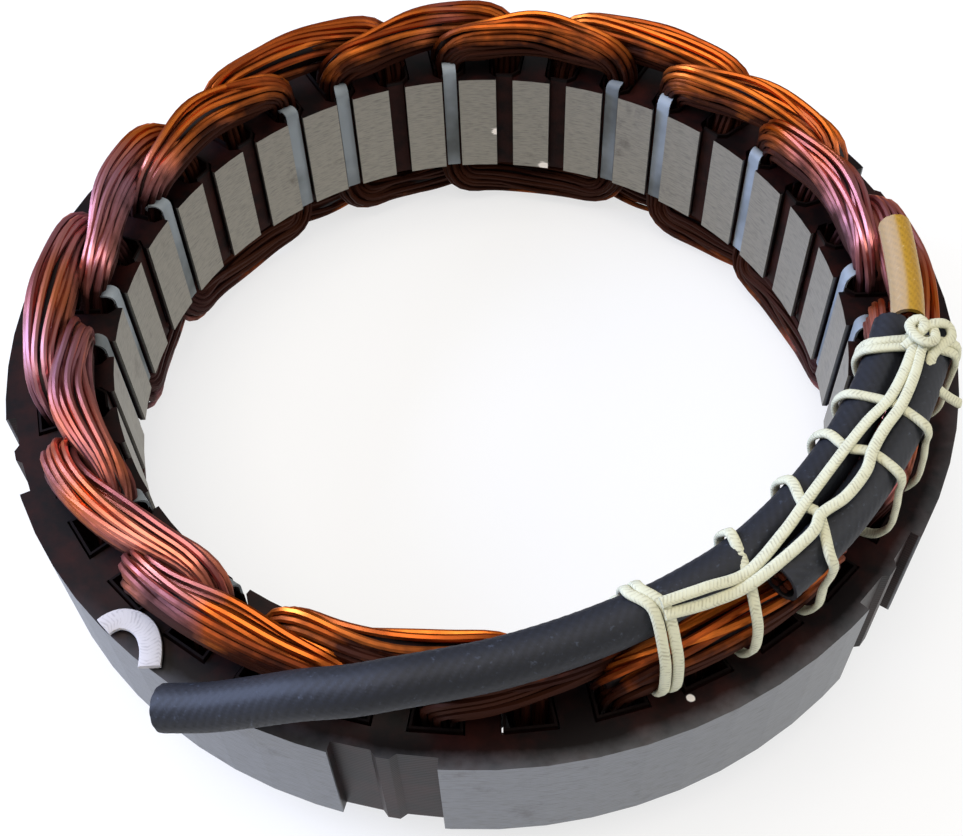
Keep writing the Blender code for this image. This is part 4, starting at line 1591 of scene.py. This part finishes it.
@dataclass(frozen=True)
class Leads:
    """The two black sleeves, the short yellow one, and the cord that laces them to the winding."""

    black: GlassSleeving = GlassSleeving("black_glass_sleeving", "020306", "080B15", "4E5664", 0.65)
    yellow: GlassSleeving = GlassSleeving("yellow_glass_sleeving", "806008", "A67C16", "CDBE98", 0.45)
    cream: BraidedCord = BraidedCord()
    grey: BraidedCord = BraidedCord("grey_lacing_cord", "C0BBB7", "A8A3A0", relief=0.02 * MM)
    long: Sleeve = Sleeve("long_lead_sleeve", 5.4 * MM, LONG_ROUTE, "black_sleeving", pressed=0.1)
    short: Sleeve = Sleeve("short_lead_sleeve", 5.4 * MM, SHORT_ROUTE, "black_sleeving", pressed=0.1)
    # The yellow sleeve takes a painted highlight on the side towards the bore.
    insulating: Sleeve = Sleeve(
        "yellow_lead_sleeve", 4.1 * MM, YELLOW_ROUTE, "yellow_sleeving", relief=0.04 * MM, faded=0.4
    )

    def build(self, copper: Material) -> None:
        """Makes the sleeves, the lacing and its loose tail.

        Args:
            copper: the material of the strands in the sleeves' mouths.
        """
        black, yellow = self.black.build(), self.yellow.build()
        self.long.declare_free(self.long.build(black, copper))
        self.short.build(black, copper)
        self.insulating.build(yellow, copper)
        Lacing(self.long, self.short).build(self.cream.build())
        TailLoop().build(self.grey.build())


@dataclass(frozen=True)
class SoftBox:
    """A square lamp that looks at the frame's origin."""

    name: str
    place: tuple[float, float, float]
    size: float
    power: float
    colour: str

    def build(self) -> None:
        """Makes the lamp."""
        data = bpy.data.lights.new(self.name, "AREA")
        data.size = self.size
        data.energy = self.power
        data.color = linear(self.colour)[:3]
        item = bpy.data.objects.new(self.name, data)
        item.location = self.place
        item.rotation_euler = (Vector(self.place) * -1).to_track_quat("-Z", "Y").to_euler()
        bpy.context.scene.collection.objects.link(item)


@dataclass(frozen=True)
class Studio:
    """Camera, floor, world and lamps: a soft box above, a cool window left and a weak box right."""

    focal_px: float = 1329.5
    frame_px: tuple[int, int] = (963, 836)
    principal_px: tuple[float, float] = (480.9, 358.0)
    elevation: float = math.radians(51.495)
    roll: float = math.radians(-2.236)
    # Distance from the core's middle, in radii of the bore.
    distance: float = 3.815
    sensor_mm: float = 36
    paper: str = "F4F4F3"
    paper_white: float = 0.7
    floor_size: float = 6
    surroundings: str = "F2F4F8"
    surroundings_strength: float = 0.42
    lamps: tuple[SoftBox, ...] = (
        SoftBox("key_box", (-0.18, -0.05, 0.85), 0.6, 4.8, "FFF6EC"),
        SoftBox("window_box", (-0.73, 0.16, 0.39), 0.45, 13.0, "BACEFF"),
        SoftBox("side_box", (0.70, -0.10, 0.45), 0.4, 2.6, "FFFFFF"),
    )

    def camera(self) -> None:
        """Places the camera as the photograph's fitted perspective gives it."""
        reach = self.distance * RING.bore_radius
        place = Vector((0, -math.cos(self.elevation) * reach, math.sin(self.elevation) * reach))
        forward = -place.normalized()
        right = Vector((1, 0, 0))
        up = right.cross(forward)
        across = right * math.cos(self.roll) + up * math.sin(self.roll)
        above = up * math.cos(self.roll) - right * math.sin(self.roll)
        data = bpy.data.cameras.new("camera")
        data.sensor_width = self.sensor_mm
        data.lens = self.focal_px * data.sensor_width / self.frame_px[0]
        data.shift_x = (self.frame_px[0] / 2 - self.principal_px[0]) / self.frame_px[0]
        data.shift_y = (self.principal_px[1] - self.frame_px[1] / 2) / self.frame_px[0]
        item = bpy.data.objects.new("camera", data)
        turn = Matrix((across, above, -forward)).transposed().to_4x4()
        middle = Vector((0, 0, (RING.low + RING.top) / 2))
        item.matrix_world = Matrix.Translation(middle + place) @ turn
        bpy.context.scene.collection.objects.link(item)
        bpy.context.scene.camera = item

    def floor(self) -> None:
        """A pale floor that looks white to the camera and keeps the stator's shadow."""
        bpy.ops.mesh.primitive_plane_add(size=self.floor_size, location=(0, 0, 0))
        plane = bpy.context.object
        plane.name = "floor"
        material, tree, shader = new_material("studio_paper")
        feed(tree, shader, {"Base Color": self.paper, "Roughness": 0.9})
        rays = add(tree, "LightPath", {})
        seen = rays.outputs["Is Camera Ray"]
        for kind in ("Is Glossy Ray", "Is Transmission Ray"):
            seen = add(tree, "Math", {0: seen, 1: rays.outputs[kind]}, operation="MAXIMUM")
        share = add(tree, "Math", {0: seen, 1: self.paper_white}, operation="MULTIPLY")
        white = add(tree, "Emission", {"Color": "FFFFFF", "Strength": 1.0})
        mixed = add(tree, "MixShader", {0: share, 1: shader, 2: white})
        feed(tree, tree.nodes["Material Output"], {"Surface": mixed})
        plane.data.materials.append(material)

    def world(self) -> None:
        """Even pale grey surroundings."""
        world = bpy.data.worlds.new("studio")
        world.use_nodes = True
        tree = world.node_tree
        light = {"Color": self.surroundings, "Strength": self.surroundings_strength}
        feed(tree, tree.nodes["Background"], light)
        bpy.context.scene.world = world

    def build(self) -> None:
        """Sets all of it up."""
        bpy.context.scene.view_settings.view_transform = "Standard"
        self.camera()
        self.floor()
        for lamp in self.lamps:
            lamp.build()
        self.world()


def main() -> None:
    """Builds the stator's looks in order."""
    logging.basicConfig(level=logging.INFO, format="%(message)s")
    Studio().build()
    Core().build()
    Liners().build()
    copper = EnamelledCopper().build()
    Winding().build(copper)
    Leads().build(copper)


if __name__ == "__main__":
    main()
